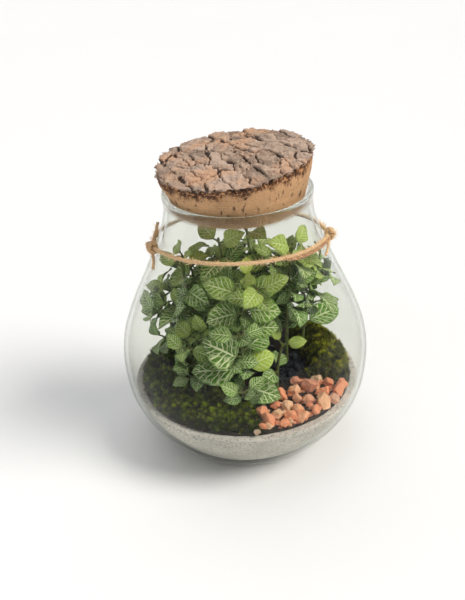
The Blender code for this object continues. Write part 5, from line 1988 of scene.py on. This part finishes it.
def make_twine(look):
    """The twisted twine, and the loose fibres on it."""
    lines = twine_lines()
    points, edges = strung([path for path, share, stain in lines])
    values = {
        "girth": [TWINE_RADIUS * share * MM for path, share, stain in lines for _ in path],
        "stain": [stain for path, share, stain in lines for _ in path],
    }
    base = linked("twine_sketch", bare_mesh("twine_sketch", points, edges, [], values))
    sizes = {"Plies": look.plies, "Pitch": look.pitch, "Step": 0.0008, "Sides": 8}
    inputs = {**sizes, "Finish": twine_finish(look)}
    piece = grow("twine_plies", base, twine_tree(), inputs)
    settle(piece, "twine", "twine")
    shape = hair_shape(look.hair)
    places = {"Lean": 0.9, "Along normal": 8.0, "Steepest": -2.0}
    hairs = strew("twine_hairs", piece, shape, hair_finish(look), look.hairs, (0.3, 1.3), 5, places)
    bpy.data.objects.remove(shape)
    return settle(hairs, "twine")


# Studio


def turned_to(thing, way):
    """Turns a light so that it shines this way."""
    thing.rotation_euler = Vector(way).to_track_quat("-Z", "Y").to_euler()


def broad_light(name, way, spread, power, colour):
    """An even light from a wide patch of sky, this many degrees across, which no gloss mirrors."""
    light = bpy.data.lights.new(name, "SUN")
    light.angle = math.radians(spread)
    light.energy = power
    light.color = colour
    thing = linked(name, light)
    turned_to(thing, -Vector(way))
    thing.visible_glossy = thing.visible_transmission = False


def gloss_panel(name, spot, wide, high, glow):
    """A panel that only shows as a highlight on glossy surfaces, turned to the jar."""
    light = bpy.data.lights.new(name, "AREA")
    light.shape, light.size, light.size_y = "RECTANGLE", wide, high
    light.energy = glow * wide * high * math.pi
    thing = linked(name, light)
    thing.location = spot
    turned_to(thing, Vector(JAR_MIDDLE) - thing.location)
    thing.visible_camera = thing.visible_diffuse = thing.visible_transmission = False


def floor_finish(look):
    tree = Finish("studio_floor")
    return tree.close(tree.mix(tree.noise(3.0), look.floor, shade(look.floor, 0.97)), 0.7)


def make_floor(look):
    work = bmesh.new()
    bmesh.ops.create_grid(work, x_segments=8, y_segments=8, size=4.0)
    mesh = bpy.data.meshes.new("studio_floor")
    work.to_mesh(mesh)
    work.free()
    mesh.materials.append(floor_finish(look))
    linked("studio_floor", mesh)


def make_lights(look):
    """Soft light from three sides, three panels for the glass to mirror, and an even sky."""
    broad_light("key_light", (0.95, -0.30, 1.00), 30.0, look.key, (1.0, 0.97, 0.93))
    broad_light("fill_light", (-0.70, -0.75, 0.90), 60.0, look.fill * 0.45, (0.95, 0.98, 1.0))
    broad_light("top_light", (-0.15, 0.35, 1.00), 60.0, look.fill, (1.0, 1.0, 1.0))
    gloss_panel("left_panel", (-0.95, -0.25, 0.60), 0.20, 0.70, look.gloss * 0.05)
    gloss_panel("right_panel", (0.95, -0.25, 0.60), 0.15, 0.70, look.gloss * 0.05)
    gloss_panel("high_panel", (0.0, 0.35, 1.10), 0.60, 0.12, look.gloss * 0.5)
    world = bpy.data.worlds.new("studio_sky")
    bpy.context.scene.world = world
    world.use_nodes = True
    sky = world.node_tree.nodes["Background"]
    sky.inputs["Color"].default_value = (0.93, 0.95, 1.0, 1.0)
    sky.inputs["Strength"].default_value = look.sky


def make_camera():
    camera = bpy.data.cameras.new("studio_camera")
    camera.sensor_fit = "VERTICAL"
    camera.sensor_height = SENSOR
    camera.lens = LENS
    camera.clip_start = 0.01
    stand = linked("studio_camera", camera)
    stand.location = CAMERA_SPOT
    stand.rotation_euler = [math.radians(angle) for angle in CAMERA_TURN]
    bpy.context.scene.camera = stand
    bpy.context.scene.view_settings.view_transform = "Standard"


# Operators


class PLANTED_JAR_OT_glass(bpy.types.Operator):
    """Build the glass jar and the sand that lies in it"""

    bl_idname = "planted_jar.glass"
    bl_label = "Jar and Sand"

    def execute(self, context):
        make_jar(context.scene.planted_jar_glass)
        make_sand(context.scene.planted_jar_glass)
        return {"FINISHED"}


class PLANTED_JAR_OT_soil(bpy.types.Operator):
    """Build the soil and its crumbs"""

    bl_idname = "planted_jar.soil"
    bl_label = "Soil"

    def execute(self, context):
        make_soil(context.scene.planted_jar_ground)
        return {"FINISHED"}


class PLANTED_JAR_OT_moss(bpy.types.Operator):
    """Build the two moss cushions and their sprigs"""

    bl_idname = "planted_jar.moss"
    bl_label = "Moss"

    def execute(self, context):
        for name in MOSS:
            make_moss(name, context.scene.planted_jar_ground)
        return {"FINISHED"}


class PLANTED_JAR_OT_stones(bpy.types.Operator):
    """Build the red and black gravel and the pale stone"""

    bl_idname = "planted_jar.stones"
    bl_label = "Stones"

    def execute(self, context):
        make_gravel(context.scene.planted_jar_ground)
        make_pale_stone()
        return {"FINISHED"}


class PLANTED_JAR_OT_plants(bpy.types.Operator):
    """Grow the leafy stems"""

    bl_idname = "planted_jar.plants"
    bl_label = "Plants"

    def execute(self, context):
        make_plants(context.scene.planted_jar_plants)
        return {"FINISHED"}


class PLANTED_JAR_OT_stopper(bpy.types.Operator):
    """Build the cork stopper with its bark"""

    bl_idname = "planted_jar.stopper"
    bl_label = "Cork Stopper"

    def execute(self, context):
        make_stopper(context.scene.planted_jar_stopper)
        return {"FINISHED"}


class PLANTED_JAR_OT_twine(bpy.types.Operator):
    """Twist the twine round the neck and tie its knots"""

    bl_idname = "planted_jar.twine"
    bl_label = "Twine"

    def execute(self, context):
        make_twine(context.scene.planted_jar_twine)
        return {"FINISHED"}


class PLANTED_JAR_OT_studio(bpy.types.Operator):
    """Set up the floor, the lights and the camera"""

    bl_idname = "planted_jar.studio"
    bl_label = "Studio"

    def execute(self, context):
        make_floor(context.scene.planted_jar_studio)
        make_lights(context.scene.planted_jar_studio)
        make_camera()
        return {"FINISHED"}


class PLANTED_JAR_PT_panel(bpy.types.Panel):
    """The jar's operators and settings"""

    bl_idname = "PLANTED_JAR_PT_panel"
    bl_label = "Planted Jar"
    bl_space_type = "VIEW_3D"
    bl_region_type = "UI"
    bl_category = "Planted Jar"

    def draw(self, context):
        for operator in OPERATORS:
            self.layout.operator(operator.bl_idname)
        for name, group in GROUPS.items():
            box = self.layout.box()
            box.label(text=group.__doc__)
            for setting in group.__annotations__:
                box.prop(getattr(context.scene, name), setting)


OPERATORS = (
    PLANTED_JAR_OT_glass,
    PLANTED_JAR_OT_soil,
    PLANTED_JAR_OT_moss,
    PLANTED_JAR_OT_stones,
    PLANTED_JAR_OT_plants,
    PLANTED_JAR_OT_stopper,
    PLANTED_JAR_OT_twine,
    PLANTED_JAR_OT_studio,
)


def register():
    for cls in (*GROUPS.values(), *OPERATORS, PLANTED_JAR_PT_panel):
        bpy.utils.register_class(cls)
    for name, group in GROUPS.items():
        setattr(bpy.types.Scene, name, PointerProperty(type=group))


def unregister():
    for name in GROUPS:
        delattr(bpy.types.Scene, name)
    for cls in (PLANTED_JAR_PT_panel, *reversed(OPERATORS), *reversed(GROUPS.values())):
        bpy.utils.unregister_class(cls)


def main():
    register()
    for operator in OPERATORS:
        getattr(bpy.ops.planted_jar, operator.bl_idname.split(".")[1])()


if __name__ == "__main__":
    main()
